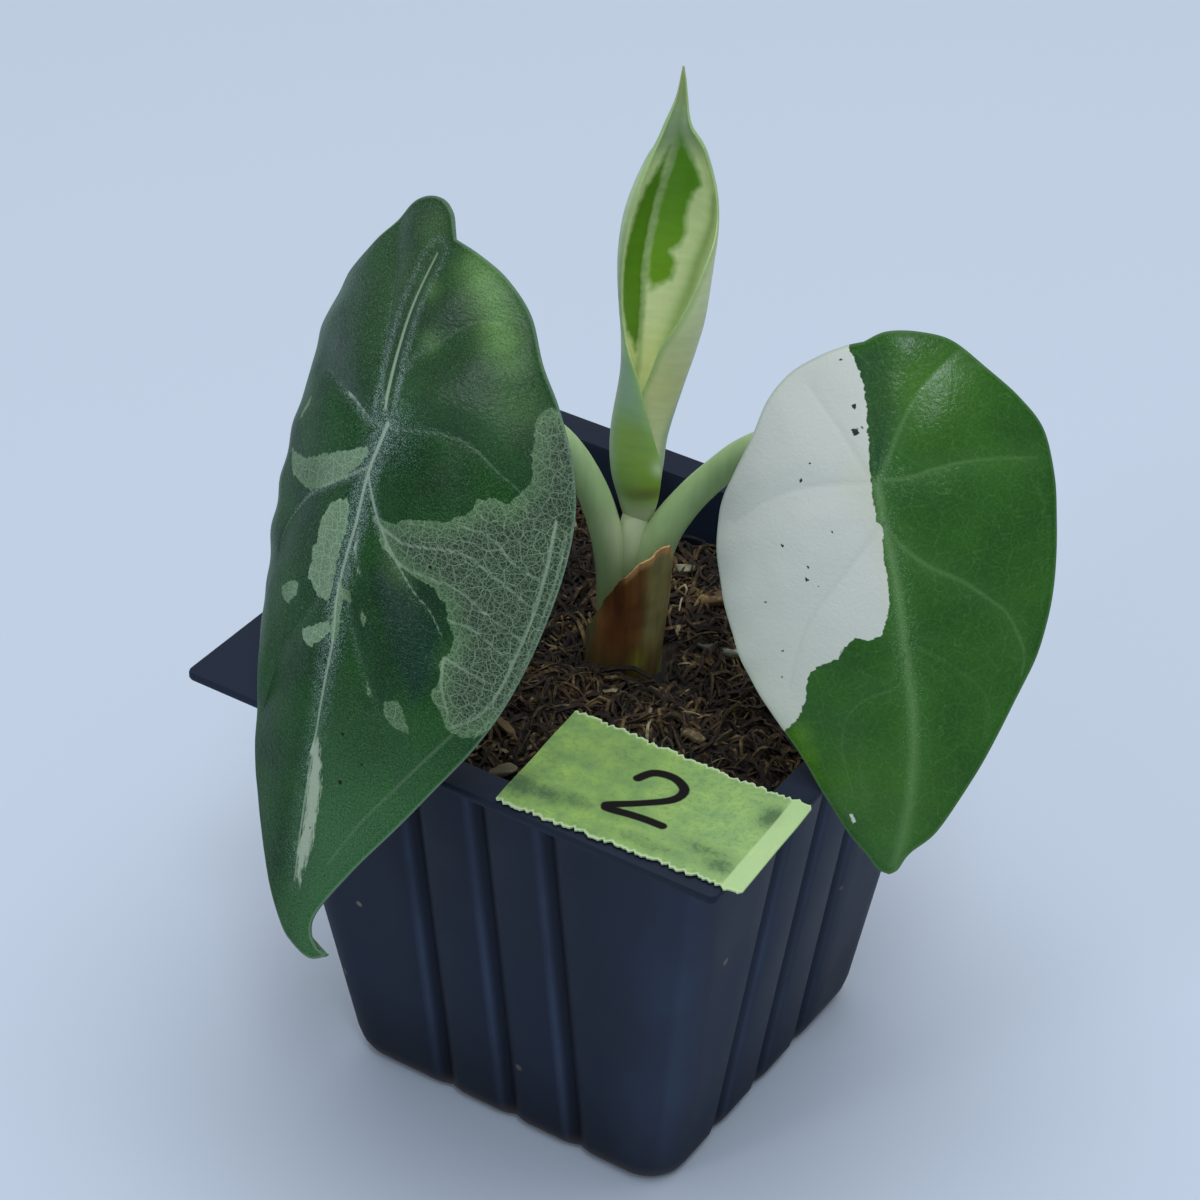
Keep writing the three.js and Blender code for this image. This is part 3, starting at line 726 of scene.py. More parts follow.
# A blade is a flat pattern, u across and v from its stalk towards its tip, that is bent: it
# droops along v, and each half is folded and curled back from the midrib along u. heading,
# dip and roll turn the whole blade. Fold is in degrees, curl and droop in degrees a millimetre.
# Quilting and scallop are the heights of the swellings between the veins and along the margin.
# A vein is its points, its half width where it starts and ends, how pale its line is, and how
# thick the silvery dust along it.
LEFT_BLADE = {
    "joint": (-10.7, -28.4, 97.8), "heading": -96, "dip": 66, "roll": -7.5,
    "fold": 4.3, "curl": 1.46, "droop_to_tip": 0.2, "droop_to_back": 0.48,
    "quilting": 0.75, "scallop": 0.13,
    "midline": [(0.5, -21), (-1.7, -14.5), (-1.6, -7), (-0.4, 0), (-1.2, 7), (-1.4, 14), (-1, 24),
                (-0.5, 36), (-0.4, 46), (0.3, 53), (2.6, 58), (5.8, 60)],
    "right_margin": [(0.5, -21), (4, -20.6), (8, -19.5), (11.8, -17), (15, -12.6), (18, -9), (21, -4),
                     (22.8, 1.5), (23.3, 8), (22.6, 16), (21, 23.5), (18.6, 29.8), (15.2, 36), (11.7, 42),
                     (8.2, 47.5), (5.4, 52.2), (3.6, 55.5), (3.1, 57.6), (3.8, 59.4), (5.8, 60)],
    "left_margin": [(0.5, -21), (-1.2, -23.3), (-4, -24.2), (-7.5, -23), (-11, -19.4), (-15, -14.4),
                    (-18.4, -9.6), (-21, -4.5), (-22.5, 1), (-23.2, 7), (-23, 14), (-21.8, 20), (-19.6, 25),
                    (-17.2, 30), (-15.2, 36), (-12.4, 42.5), (-9.2, 48), (-6.2, 53), (-2.8, 57.8),
                    (0.4, 60.4), (3.4, 61.3), (5.8, 60)],
    "veins": [
        ([(-0.2, -0.4), (-0.7, 2.5), (-1.2, 5.3), (-1.2, 8.3), (-1.1, 11.5), (-1.4, 15.1), (-1.5, 19.7),
          (-0.6, 24), (-0.5, 31.5), (-0.3, 37), (-0.4, 43.1), (-0.2, 53.4)], 0.28, 0.12, 0.9, 1),
        ([(-1.3, -1.6), (-1.6, -3.6), (-2, -8), (-2.1, -13), (-1.4, -18.8)], 0.28, 0.15, 1, 0.85),
        ([(-1.3, 4.9), (-6.1, 8.3), (-11.3, 11.9), (-15.5, 16.6), (-18.5, 24)], 0.22, 0.12, 0.45, 0.8),
        ([(-1, 0.3), (-3.2, 0.3), (-8.9, -0.7), (-15.7, -1.2), (-21, 2)], 0.2, 0.12, 0.1, 0.8),
        ([(-1, -1), (-3.2, -4.5), (-5, -9.8), (-6.8, -14.7), (-9.9, -19.5)], 0.2, 0.1, 0.05, 0.65),
        ([(-0.3, -1), (0.3, -6.9), (4, -11.6), (6.9, -14.3), (10.5, -15)], 0.2, 0.1, 0.1, 0.5),
        ([(0.3, 0), (6.5, -1.7), (10.4, -1.7), (13.7, -0.2), (16.4, 0.9), (18.2, 2.3), (20.6, 3.2)],
         0.16, 0.14, 0.25, 0.45),
        ([(-1.2, 5.5), (-0.1, 7.1), (1.7, 9.6), (4.4, 12.3), (8.1, 15.4), (10.3, 16.6), (12.5, 19)],
         0.2, 0.1, 0.75, 0.8),
        ([(-1.2, 17), (3, 24), (8, 31), (11, 38)], 0.15, 0.1, 0.05, 0.45),
        ([(-1.2, 17), (-5.5, 23), (-10, 30), (-12.5, 38)], 0.15, 0.1, 0.05, 0.45),
        ([(21.1, 2.8), (21.5, 7.8), (21.4, 12.9), (20.8, 17.5), (19.9, 22.4), (18.3, 26), (15.6, 28.3)],
         0.2, 0.19, 0.65, 0.2),
        ([(16, 29), (12, 35.5), (7.8, 42.4), (4.4, 49)], 0.2, 0.16, 0.15, 0.1),
        ([(1.2, 9.8), (5.8, 10.7), (12.2, 9.3), (16.3, 10.4), (20.6, 12.3)], 0.2, 0.18, 0.6, 0),
        ([(11.6, 6.6), (13.2, 6.4), (15.8, 6.8), (17.8, 8.3), (21.2, 9.4)], 0.19, 0.16, 0.5, 0),
        ([(3.5, 12), (6.2, 13.2), (10.2, 13.1), (13.8, 13.4), (16.9, 14.8), (20.9, 16.3)],
         0.19, 0.16, 0.5, 0),
        ([(12.8, 16.9), (15.1, 16.8), (17.5, 17.6), (20.6, 19.2)], 0.19, 0.16, 0.45, 0),
        ([(13.6, 21), (16.9, 21.7), (19.8, 22)], 0.19, 0.16, 0.45, 0),
        ([(13.3, 21), (13.5, 22.6), (13.9, 24.4), (15.1, 26.8)], 0.19, 0.17, 0.5, 0),
        ([(22.4, 3.5), (22.7, 8), (22.1, 16), (20.6, 23.5), (18.3, 28.6)], 0.17, 0.17, 0.35, 0),
        ([(-8.5, -0.8), (-7, -0.7), (-5.4, -0.3), (-3.1, 0.3)], 0.24, 0.1, 1, 0.3),
    ],
}
RIGHT_BLADE = {
    "joint": (32.5, -0.9, 92.4), "heading": -47, "dip": 58, "roll": -20,
    "fold": 4, "curl": 1.48, "droop_to_tip": 0.36, "droop_to_back": 0.7,
    "quilting": 0.28, "scallop": 0.06,
    "midline": [(-0.4, -14.9), (-0.2, -9), (0, 0), (0.9, 7), (1.5, 13), (1.9, 20), (1.9, 26),
                (1.4, 32), (0.2, 37.5), (-2.2, 43.1)],
    "right_margin": [(-0.4, -14.9), (2, -15.8), (5.5, -15.6), (9, -14.5), (12.5, -11.4), (16, -8),
                     (18.4, -4.4), (19.3, 0.5), (19.1, 7), (18.2, 13.5), (16, 20), (12.8, 25.2), (9.8, 30),
                     (6.6, 34.4), (3.2, 38.6), (0.3, 40.7), (-1.2, 42.6), (-2.2, 43.1)],
    "left_margin": [(-0.4, -14.9), (-2.6, -14.6), (-5.4, -13.8), (-8.6, -12.4), (-11.4, -9.8),
                    (-13.6, -6), (-16.4, -1.8), (-18.8, 2.4), (-19.5, 7.5), (-18.8, 14), (-17, 20),
                    (-14, 25), (-11, 29.4), (-8.6, 34), (-6.2, 38.4), (-4.4, 40.8), (-3.4, 42.5),
                    (-2.2, 43.1)],
    "veins": [
        ([(0.1, -0.5), (0.5, 4.9), (1, 7.5), (1.5, 12.8), (1.8, 19.5), (2, 24.8), (1.6, 30.2),
          (0.9, 34.2), (-0.1, 38.2), (-1.4, 42)], 0.4, 0.5, 0.7, 0.7),
        ([(0, 0), (-0.2, -7), (-0.4, -14)], 0.25, 0.15, 0.1, 0),
        ([(0.5, -0.3), (3.3, -6.4), (5.7, -10), (9.5, -13.6)], 0.24, 0.14, 0.45, 0),
        ([(0.6, -0.2), (3.2, -0.2), (7, -1.1), (11, -1.6), (17.5, -1.4)], 0.2, 0.14, 0.5, 0),
        ([(0.5, 4.4), (2.1, 6.8), (5, 9.4), (8.3, 11.2), (11.3, 13.7), (13, 15.5), (14.4, 19.6),
          (13.9, 22.2)],
         0.24, 0.14, 0.45, 0.1),
        ([(1.8, 17), (7.5, 21), (10, 24.5), (9.5, 29)], 0.2, 0.12, 0.15, 0),
        ([(-0.7, -0.7), (-3.5, -6), (-6.5, -10.5)], 0.25, 0.12, 0.1, 0),
        ([(-0.5, 0), (-7, 0), (-12, 1), (-17, 3.5)], 0.25, 0.12, 0.1, 0),
        ([(0.5, 4.4), (-4, 9.4), (-8.7, 15), (-11.5, 22)], 0.25, 0.12, 0.1, 0),
        ([(1.8, 17), (0.8, 21.7), (-2.5, 23), (-5.1, 25.1), (-6, 28.6), (-5.5, 32.2), (-5.2, 34.1)],
         0.16, 0.1, 0.28, 0),
        ([(17.2, 1), (18, 7), (17, 13.5), (14.8, 19.5), (11.8, 24.6), (8.6, 29.4), (4, 35.6), (0.4, 39.8)],
         0.12, 0.1, 0.08, 0),
    ],
}

# Pale patches on the left blade's upper face
LEFT_PATCHES = [
    [(17, -9), (16.2, -7.3), (16.7, -4.4), (17.6, -0.2), (16.6, 0.9), (15.9, 2.7), (14.6, 2.4),
     (12.7, 3.1), (12.3, 4.7), (10.2, 6.5), (7.2, 7.5), (4.9, 8.3), (4.5, 9.1), (2, 9.5), (2.5, 11.8),
     (5.3, 13.3), (8.4, 13.8), (10.4, 14), (12.2, 15.3), (12.9, 17.2), (13.8, 18.3), (13.8, 19.9),
     (12.9, 21.5), (13.5, 23.5), (12.6, 25.3), (14.3, 26.9), (15.3, 28.6), (17.2, 29), (18.6, 28.2),
     (24, 24), (30, 5), (24, -8)],
    [(-20.5, 9.6), (-16.6, 9.2), (-13.4, 8.6), (-10.2, 7), (-5.9, 4.9), (-2.3, 2.9), (-1.7, 3.3),
     (-2.6, 5.1), (-4.7, 7.3), (-8.5, 10), (-11.7, 11.6), (-16.1, 11.4)],
    [(-5.6, 10.5), (-4.6, 9.9), (-2.9, 9.2), (-2.1, 11.6), (-2.3, 13.6), (-2.6, 15.1), (-2.5, 17.6),
     (-2.5, 20.9), (-4.8, 21.1), (-5.9, 20), (-6.9, 19.8), (-6.4, 17.6), (-6.9, 16.4), (-6.2, 15.6),
     (-6.4, 12.9)],
    [(-1.4, 17.3), (-0.9, 18.6), (-0.2, 18.2), (1, 18.7), (0.9, 19.5), (-0.3, 19.7), (0, 21.7), (0.4, 23.5),
     (-0.6, 25), (-1.4, 23.5), (-1.6, 20)],
    [(-12.1, 23.2), (-10.4, 21.7), (-8.1, 20.9), (-8.4, 22.7), (-10.1, 24.2), (-11.5, 24.2)],
    [(-6.4, 25.7), (-2.9, 23.4), (-1.6, 22.7), (-1, 23.7), (-1.7, 24.7), (-3.6, 26.6), (-5.2, 26.5)],
    [(7.5, 28.6), (8.1, 28), (9.4, 27.4), (10.4, 28.6), (11.4, 30.5), (9.9, 30.7), (8.6, 30.2),
     (7.9, 29.6)],
    [(4.7, 26.6), (5.1, 26.6), (5.9, 28.4), (5.6, 28.5)],
    [(2.7, 19.4), (3.5, 20), (3.4, 21.2), (2.7, 20.8)],
    [(-19, 5.2), (-17.6, 2.4), (-16.8, 3.4), (-17.9, 5.8)],
]
LEFT_WHITES = [
    [(-0.9, 37), (-0.3, 35.4), (0.2, 35.2), (1.4, 37.8), (2.2, 41.5), (2.2, 44.6), (2, 48.5), (0.8, 53.4),
     (-0.1, 52.8), (-0.6, 49.8), (-0.1, 44.2)],
    [(-0.6, 11.8), (-0.2, 11.8), (0.3, 14), (1.5, 16), (1.1, 16.4), (-0.3, 14)],
]
# The creamy half of the right blade's upper face
RIGHT_WHITES = [
    [(-3, -16), (-2.1, -14.8), (-1.7, -13.5), (-0.9, -11.5), (-0.6, -9.8), (-0.5, -7.4), (-0.5, -3.8),
     (-0.5, -0.8), (-0.4, 1.8), (-0.1, 4.3), (0.4, 4.9), (0.2, 6.5), (0.4, 10.1), (0.5, 12.7), (0.3, 13.9),
     (-0.7, 16.4), (-2.3, 16.8), (-3.3, 16.4), (-4.8, 17.6), (-5.6, 18.7), (-7.7, 19.4), (-9, 20.4),
     (-9.4, 21.9), (-9.7, 23.5), (-10.8, 25.4), (-11.9, 26.5), (-18, 30), (-30, 10), (-20, -20)],
    [(-5.8, 36.1), (-5.3, 36), (-5.2, 36.9), (-5.7, 37.1)],
]
# Dark specks on the creamy half, with their radius
RIGHT_SPECKS = [
    (-2.9, -13.2, 0.14), (-1.8, -8.1, 0.2), (-1.8, -5.5, 0.34), (-1.1, -5.8, 0.14), (-7, -2.4, 0.16),
    (-8.2, -0.6, 0.2), (-5, 5, 0.15), (-10.8, 6.2, 0.15), (-8, 8.6, 0.12), (-8.3, 10, 0.17),
    (-7.1, 10.7, 0.12), (-13.4, 12.3, 0.12), (-11.8, 17.7, 0.1), (-12.3, 20.7, 0.12),
]
# Painted shade zones, and yellower spots, partly painted highlight, with their radius and strength
LEFT_PAINTED_SHADE = [[(4.6, 14), (8.3, 16.4), (12.2, 18), (12.6, 24), (11, 27), (7.5, 22), (3, 15)]]
RIGHT_PAINTED_SHADE = [[(-0.9, -0.8), (-0.9, -9.8), (-2, -13.5), (1.6, -14.6), (2.6, -11), (3, -6.4), (0.6, -0.4)]]
LEFT_YELLOW_TINTS_AND_HIGHLIGHTS = [(2, -10.2, 1.3, 0.35), (0.2, -15.2, 1.3, 0.3), (4.4, -19.2, 2.2, 0.6),
              (5.8, -18.3, 2.4, 0.88), (7.2, -17, 2.5, 0.92), (8.6, -15.4, 2.5, 0.9),
              (10, -13.6, 2.4, 0.72), (11.6, -11.8, 2.3, 0.42), (14, -7.5, 3, 0.22), (6, 13.5, 2, 0.2),
              (-3, -21, 2.5, 0.25), (-4, -15, 5, 0.12)]
RIGHT_YELLOW_TINTS_AND_HIGHLIGHTS = [(-10.6, 27.3, 1.5, 0.9), (-10, 29.5, 1.5, 0.8), (-9.5, 32, 1.4, 0.5), (6, -10, 5, 0.5),
               (-5, 33, 5, 0.3), (-1, 34, 7, 0.25)]
LEFT_SPECKS = [(9.6, 11.9, 0.2), (-19.5, 30, 0.1), (3.6, 33.6, 0.2), (4.4, 39, 0.25), (6.6, 36, 0.14),
               (1.2, 46, 0.12)]


def blade_axes(blade):
    h, d, r = (math.radians(blade[key]) for key in ("heading", "dip", "roll"))
    to_tip = np.array([math.cos(d) * math.cos(h), math.cos(d) * math.sin(h), -math.sin(d)])
    upright = np.array([math.sin(d) * math.cos(h), math.sin(d) * math.sin(h), math.cos(d)])
    out = upright * math.cos(r) + np.cross(upright, to_tip) * math.sin(r)
    return np.cross(out, to_tip), to_tip, out


def bent(blade, flat, lift):
    """Places on the bent blade of flat pattern points, lifted along the blade's normal."""
    across, to_tip, out = blade_axes(blade)
    u, v = flat[:, 0], flat[:, 1]
    fold, curl = math.radians(blade["fold"]), math.radians(blade["curl"])
    droop = np.radians(np.where(v > 0, blade["droop_to_tip"], blade["droop_to_back"]))
    turned = fold + curl * abs(u)
    away = (np.sin(turned) - math.sin(fold)) / curl
    back = (math.cos(fold) - np.cos(turned)) / curl
    x = np.where(u < 0, -1, 1) * (away + lift * np.sin(turned))
    outward = lift * np.cos(turned) - back
    y = np.sin(droop * v) / droop + np.sin(droop * v) * outward
    z = (np.cos(droop * v) - 1) / droop + np.cos(droop * v) * outward
    return np.array(blade["joint"]) + np.outer(x, across) + np.outer(y, to_tip) + np.outer(z, out)


def behind_joint(blade, distance):
    return tuple(np.array(blade["joint"]) - blade_axes(blade)[2] * distance)


def blade_piece(name, blade, markings, yellow_tints_and_highlights, columns=166, rows=240):
    midline = spline(blade["midline"], OUTLINE_POINTS)
    left, right = (spline(blade[key], OUTLINE_POINTS) for key in ("left_margin", "right_margin"))
    piece, column, row = grid(name, columns, rows)
    across = column / columns * 2 - 1
    along = row / rows
    middle = sample(midline, along**1.3)
    margin = np.where(across[:, None] < 0, sample(left, along), sample(right, along))
    flat = middle + (margin - middle) * abs(across)[:, None]
    store(piece, "flat", np.column_stack([flat, np.zeros(len(flat))]))
    put(piece, bent(blade, flat, np.zeros(len(flat))))
    weld(piece)
    upper_count = len(piece.data.vertices)
    # A second face, which the lift below sets apart by the real thickness
    modify(piece, "SOLIDIFY", thickness=0.3 * MM, offset=0)

    flat = stored(piece, "flat")[:, :2]
    outline = np.vstack([left, right[::-1]])
    to_margin, _ = nearest_on(resample(outline, 160), flat)
    reach = np.full(len(flat), 1e9)
    pale = np.zeros(len(flat))
    nearest_vein = np.full(len(flat), 1e9)
    ridge = np.zeros(len(flat))
    raised = np.ones(len(flat))
    dust = np.maximum(np.where(flat[:, 0] < -2, 0.2, 0.1), 0.6 * near(0, 5, np.hypot(*flat.T)))
    for k, (points, start, end, strength, dusting) in enumerate(blade["veins"]):
        distance, share = nearest_on(spline(points, 24), flat)
        half = start + (end - start) * share
        closer = distance / half < reach
        reach[closer] = (distance / half)[closer]
        pale[closer] = strength * (1 - 0.4 * share[closer])
        beside = near(1.5, 0.7, distance) if k == 1 else near(0, 2.1 if k == 0 else 0.9, distance)
        dust = np.maximum(dust, dusting * (1 - (0.5 if k < 2 else 0.85) * share) * beside)
        if k < RAISED_VEINS:
            nearest_vein = np.minimum(nearest_vein, distance)
            raised *= 1 - near(0, VEIN_TROUGH, distance)
            height = (0.8 if k == 0 else 0.35) * (1 - 0.75 * share)
            ridge = np.maximum(ridge, height * near(0, 0.9 if k == 0 else 0.55, distance))
    quilt = blade["quilting"] * raised * (0.45 + 0.55 * near(0, QUILT_FADE, np.hypot(*flat.T)))
    thick = BLADE_THICKNESS * (0.5 + 0.5 * (1 - np.exp(-to_margin / MARGIN_BAND)))
    upper = np.arange(len(flat)) < upper_count
    ripple = RIPPLE_HEIGHT * lumps(np.column_stack([flat, 0 * to_margin]), RIPPLE_SIZE, 1)
    ripple *= 1 - np.exp(-nearest_vein / 2)
    trough = 0.2 * blade["quilting"] * near(0, 0.45, nearest_vein)
    wave = np.cos((flat[:, 1] + 0.35 * flat[:, 0]) * 2 * math.pi / SCALLOP_PITCH)
    wave *= eased(-9, -17, flat[:, 0])
    quilt = quilt + blade["scallop"] * wave * eased(34, 24, flat[:, 1])
    lift = np.where(upper, quilt + thick / 2 + ripple - trough, quilt - thick / 2 - ridge)
    put(piece, bent(blade, flat, lift))
    store(piece, "upper", upper)
    store(piece, "vein", np.minimum(reach, 40))
    store(piece, "pale", pale)
    store(piece, "dust", dust * (1 - 0.35 * eased(20, 40, flat[:, 1])))
    store(piece, "near_vein", near(0, 1.9, nearest_vein))
    store(piece, "margin", to_margin)
    # Spots painted yellower, some of them lighter as a painted highlight
    yellow_tint_and_highlight = np.zeros(len(flat))
    for u, v, size, strength in yellow_tints_and_highlights:
        yellow_tint_and_highlight = np.maximum(yellow_tint_and_highlight, strength * near(0, size, np.hypot(flat[:, 0] - u, flat[:, 1] - v)))
    store(piece, "yellow_tint_and_highlight", yellow_tint_and_highlight)
    for key, outlines in markings.items():
        depth = np.full(len(flat), -30.0)
        for shape in outlines:
            depth = np.maximum(depth, depth_inside(np.array(shape, float), flat))
        store(piece, key, depth)
    weld(piece)
    smooth(piece, 60)
    return piece


def pattern_nodes(material):
    """What a patterned material reads: the flat pattern in millimetres and the stored numbers."""
    def read(name):
        return attribute(material, name)
    return attribute(material, "flat", 1), read


def speck_mask(material, flat, specks):
    """1 inside each small round speck and 0 outside."""
    mask = 0.0
    for u, v, radius in specks:
        distance = add(material, "ShaderNodeVectorMath", {0: flat, 1: (u, v, 0)},
                       operation="DISTANCE")["Value"]
        inside = ranged(material, distance, radius * 0.8, radius * 1.15, 1, 0)
        mask = worked(material, "MAXIMUM", inside, mask)
    return mask


def dust_grains(material, flat, share, per_mm, size):
    """Small round grains, one to a cell, in as many of the cells as the share says."""
    cells = add(material, "ShaderNodeTexVoronoi", {"Vector": flat, "Scale": per_mm},
                voronoi_dimensions="2D")
    drawn = add(material, "ShaderNodeSeparateColor", {0: cells["Color"]})
    lit = worked(material, "LESS_THAN", drawn[0], share)
    dot = ranged(material, cells["Distance"], size * 0.6, size, 1, 0)
    bright = ranged(material, drawn[1], 0, 1, 0.3, 1)
    dot = times(material, dot, lit)
    return times(material, dot, bright)


def dark_blade_material():
    # Living alocasia blade, thick and leathery: dark green cells under a waxy cuticle, with a
    # silvery dust of air pockets thickest along the veins, and pale patches that show the net
    material, shader = surface("dark_leathery_cuticle", "#27492f", Roughness=0.4, IOR=1.38)
    flat, read = pattern_nodes(material)
    broad = clouds(material, flat, 0.11, 3)
    grain = clouds(material, flat, 4.6, 2, Roughness=0.6)
    rag = clouds(material, flat, 1.3, 4, Roughness=0.6)
    share = ranged(material, broad, 0.35, 0.65, 0, 1)
    green = mix(material, share, "#0e2f13", "#1b4516")
    # Painted shade: a darker blue-green over the listed zones
    painted_shade = ranged(material, read("painted_shade"), -0.8, 0.8, 0, 0.7)
    green = mix(material, painted_shade, green, "#0f2a25")
    # Spots painted yellower and lighter, partly as a painted highlight
    green = mix(material, read("yellow_tint_and_highlight"), green, "#648e4a")
    across, along, _ = add(material, "ShaderNodeSeparateXYZ", {0: flat})
    low = ranged(material, along, 25, 44, 0, 0.6)
    beside = ranged(material, across, -3, 3, 0.12, 1)
    low = times(material, low, beside)
    green = mix(material, low, green, "#437046")
    dust = read("dust")
    bloom = times(material, dust, 0.25)
    green = mix(material, bloom, green, "#2c4a48")
    cells = ranged(material, grain, 0.3, 0.7, 0.6, 1.5)
    green = scaled(material, green, cells)

    # Pale patches with a fine net of veins, duskier in the middle of each patch
    shifted = worked(material, "MULTIPLY_ADD", rag, 1.1, -0.55)
    depth = worked(material, "ADD", read("patch"), shifted)
    in_patch = ranged(material, depth, -0.02, 0.07, 0, 1)
    net_place = wandering(material, flat, 1.2, 1, 0.6)
    net = 0.0
    for scale, thin, strength in ((2.6, 0.15, 0.35), (1.35, 0.08, 0.6), (0.6, 0.035, 0.8)):
        away = cell_edges(material, net_place, scale, Randomness=0.9)
        line = ranged(material, away, 0.25 * thin, thin, strength, 0)
        net = worked(material, "MAXIMUM", line, net)
    deep = ranged(material, depth, 0.2, 2.6, 0, 1)
    cell = mix(material, deep, "#486643", "#2f3d31")
    cell = scaled(material, cell, cells)
    left_side = ranged(material, across, 0.5, -1.5, 0, 0.5)
    paler = ranged(material, across, -11, -7, 0.3, 1)
    paler = times(material, paler, left_side)
    cell = mix(material, paler, cell, "#7b9a78")
    lines = mix(material, paler, "#7f9b76", "#b4c8b0")
    patch = mix(material, net, cell, lines)
    tone = mix(material, in_patch, green, patch)
    # Painted sheen: a bluish grey along the left margin, where the blade is seen at a slant
    turned = ranged(material, read("margin"), 0.3, 3.4, 0.42, 0)
    on_left = ranged(material, across, -12, -17, 0, 1)
    turned = times(material, turned, on_left)
    tone = mix(material, turned, tone, "#7d9490")

    # Near-white streaks, ragged along the blade, and the pale lines of the veins
    drawn_out = stretched(material, flat, (2.4, 0.5, 1))
    streaks = clouds(material, drawn_out, 1, 3, Roughness=0.7)
    ragged = worked(material, "MULTIPLY_ADD", streaks, 3, -1.6)
    depth = worked(material, "ADD", read("white"), ragged)
    inside = ranged(material, depth, -0.1, 0.5, 0, 0.95)
    tone = mix(material, inside, tone, "#a4b39b")
    line = ranged(material, read("vein"), 0.5, 1.3, 1, 0)
    line = times(material, line, read("pale"))
    tone = mix(material, line, tone, "#98ad92")

    # Silvery dust: crisp grains about 0.14 mm across over finer and dimmer ones, in drifts
    drift = ranged(material, rag, 0.35, 0.65, 0.35, 1.3)
    clear = ranged(material, in_patch, 0, 1, 0.95, 0.12)
    share = times(material, dust, drift)
    share = times(material, share, clear)
    everywhere = worked(material, "MULTIPLY_ADD", clear, 0.35, share)
    coarse = dust_grains(material, flat, share, 5, 0.36)
    fine = dust_grains(material, flat, everywhere, 7.5, 0.45)
    fine = times(material, fine, 0.55)
    grains = worked(material, "MAXIMUM", coarse, fine)
    shine = ranged(material, dust, 0.15, 0.7, 0.45, 1)
    grains = times(material, grains, shine)
    silver = ranged(material, dust, 0.15, 0.6, 0, 1)
    silver = mix(material, silver, "#6f9a76", "#a5bdb6")
    tone = mix(material, grains, tone, silver)
    rim = ranged(material, read("margin"), 0.08, 0.35, 0.5, 0)
    tone = mix(material, rim, tone, "#7b947f")
    tone = mix(material, speck_mask(material, flat, LEFT_SPECKS), tone, "#0f1a12")

    rough = ranged(material, grain, 0.35, 0.65, 0.24, 0.38)
    gloss = ranged(material, read("margin"), 0.1, 0.9, 0.08, 0.6)
    gloss = less_aslant(material, gloss, 0.1)
    clean = ranged(material, along, -6, 1, 1, 0.3)
    gloss = times(material, gloss, clean)
    drawn = stretched(material, flat, (1.3, 2.8, 1), turn=0.5)
    wrinkle = clouds(material, drawn, 1, 3)
    bump = bumps(material, wrinkle, 0.75, 0.12)
    relief = worked(material, "MULTIPLY_ADD", net, 0.4, grain)
    bump = bumps(material, relief, 0.4, 0.03, bump)
    feed(material, shader, Base_Color=tone, Roughness=rough, Specular_IOR_Level=gloss, Normal=bump)
    return material


def green_blade_material():
    # Living alocasia blade, half of it without chlorophyll: glossy mid green cells beside
    # creamy white ones, under the same smooth waxy cuticle
    material, shader = surface("glossy_leathery_cuticle", "#2c5f2a", Roughness=0.3, IOR=1.42)
    flat, read = pattern_nodes(material)
    broad = clouds(material, flat, 0.12, 3)
    grain = clouds(material, flat, 3.2, 3, Roughness=0.7)
    rag = clouds(material, flat, 1.4, 3)
    share = ranged(material, broad, 0.35, 0.65, 0, 1)
    green = mix(material, share, "#1f4b18", "#29591a")
    # Painted shade: a darker blue-green over the listed zones
    painted_shade = ranged(material, read("painted_shade"), -1.1, 1, 0, 0.75)
    green = mix(material, painted_shade, green, "#183a26")
    # Spots painted yellower and lighter, partly as a painted highlight
    green = mix(material, read("yellow_tint_and_highlight"), green, "#48741c")
    dust = read("dust")
    cells = ranged(material, grain, 0.3, 0.7, 0.84, 1.27)
    green = scaled(material, green, cells)
    halo = times(material, read("near_vein"), read("pale"))
    halo = times(material, halo, 0.42)
    green = mix(material, halo, green, "#4f7d40")
    line = ranged(material, read("vein"), 0, 1.8, 0.65, 0)
    line = times(material, line, read("pale"))
    green = mix(material, line, green, "#749a62")
    share = ranged(material, dust, 0.25, 0.8, 0, 0.55)
    grains = dust_grains(material, flat, share, 7, 0.4)
    grains = times(material, grains, 0.4)
    green = mix(material, grains, green, "#a2b8ae")
    net_place = wandering(material, flat, 0.5, 3, 3)
    for scale, thin, strength in ((0.42, 0.04, 0.13), (1.3, 0.08, 0.12)):
        away = cell_edges(material, net_place, scale)
        fine = ranged(material, away, 0.2 * thin, thin, strength, 0)
        green = mix(material, fine, green, "#5f8f4c")

    # Creamy half, its veins only a shade darker, with dark specks
    cream_line = ranged(material, read("vein"), 0.3, 2.2, 0.16, 0)
    cream = mix(material, cream_line, "#c5cbc2", "#a4ada3")
    warm = ranged(material, dust, 0.2, 0.85, 0, 0.5)
    cream = mix(material, warm, cream, "#c3c3a4")
    uneven = wandering(material, flat, 2.2, 1, 0.7)
    uneven = add(material, "ShaderNodeVectorMath", {0: uneven, 1: (0.35, 0.35, 0)},
                 operation="SUBTRACT")[0]
    cream = mix(material, speck_mask(material, uneven, RIGHT_SPECKS), cream, "#253529")
    shifted = worked(material, "MULTIPLY_ADD", rag, 0.8, -0.4)
    depth = worked(material, "ADD", read("white"), shifted)
    inside = ranged(material, depth, -0.04, 0.06, 0, 1)
    tone = mix(material, inside, green, cream)
    rim = ranged(material, read("margin"), 0.1, 0.4, 0.3, 0)
    tone = mix(material, rim, tone, "#6d8a6d")

    rough = ranged(material, grain, 0.35, 0.65, 0.15, 0.27)
    rough = worked(material, "MULTIPLY_ADD", inside, 0.14, rough)
    gloss = ranged(material, read("margin"), 0.1, 0.9, 0.08, 0.34)
    duller = ranged(material, inside, 0, 1, 1, 0.55)
    gloss = times(material, gloss, duller)
    gloss = less_aslant(material, gloss, 0.15)
    wrinkle = clouds(material, flat, 1.7, 3, Distortion=0.8)
    bump = bumps(material, wrinkle, 0.4, 0.12)
    bump = bumps(material, grain, 0.2, 0.04, bump)
    feed(material, shader, Base_Color=tone, Roughness=rough, Specular_IOR_Level=gloss, Normal=bump)
    return material


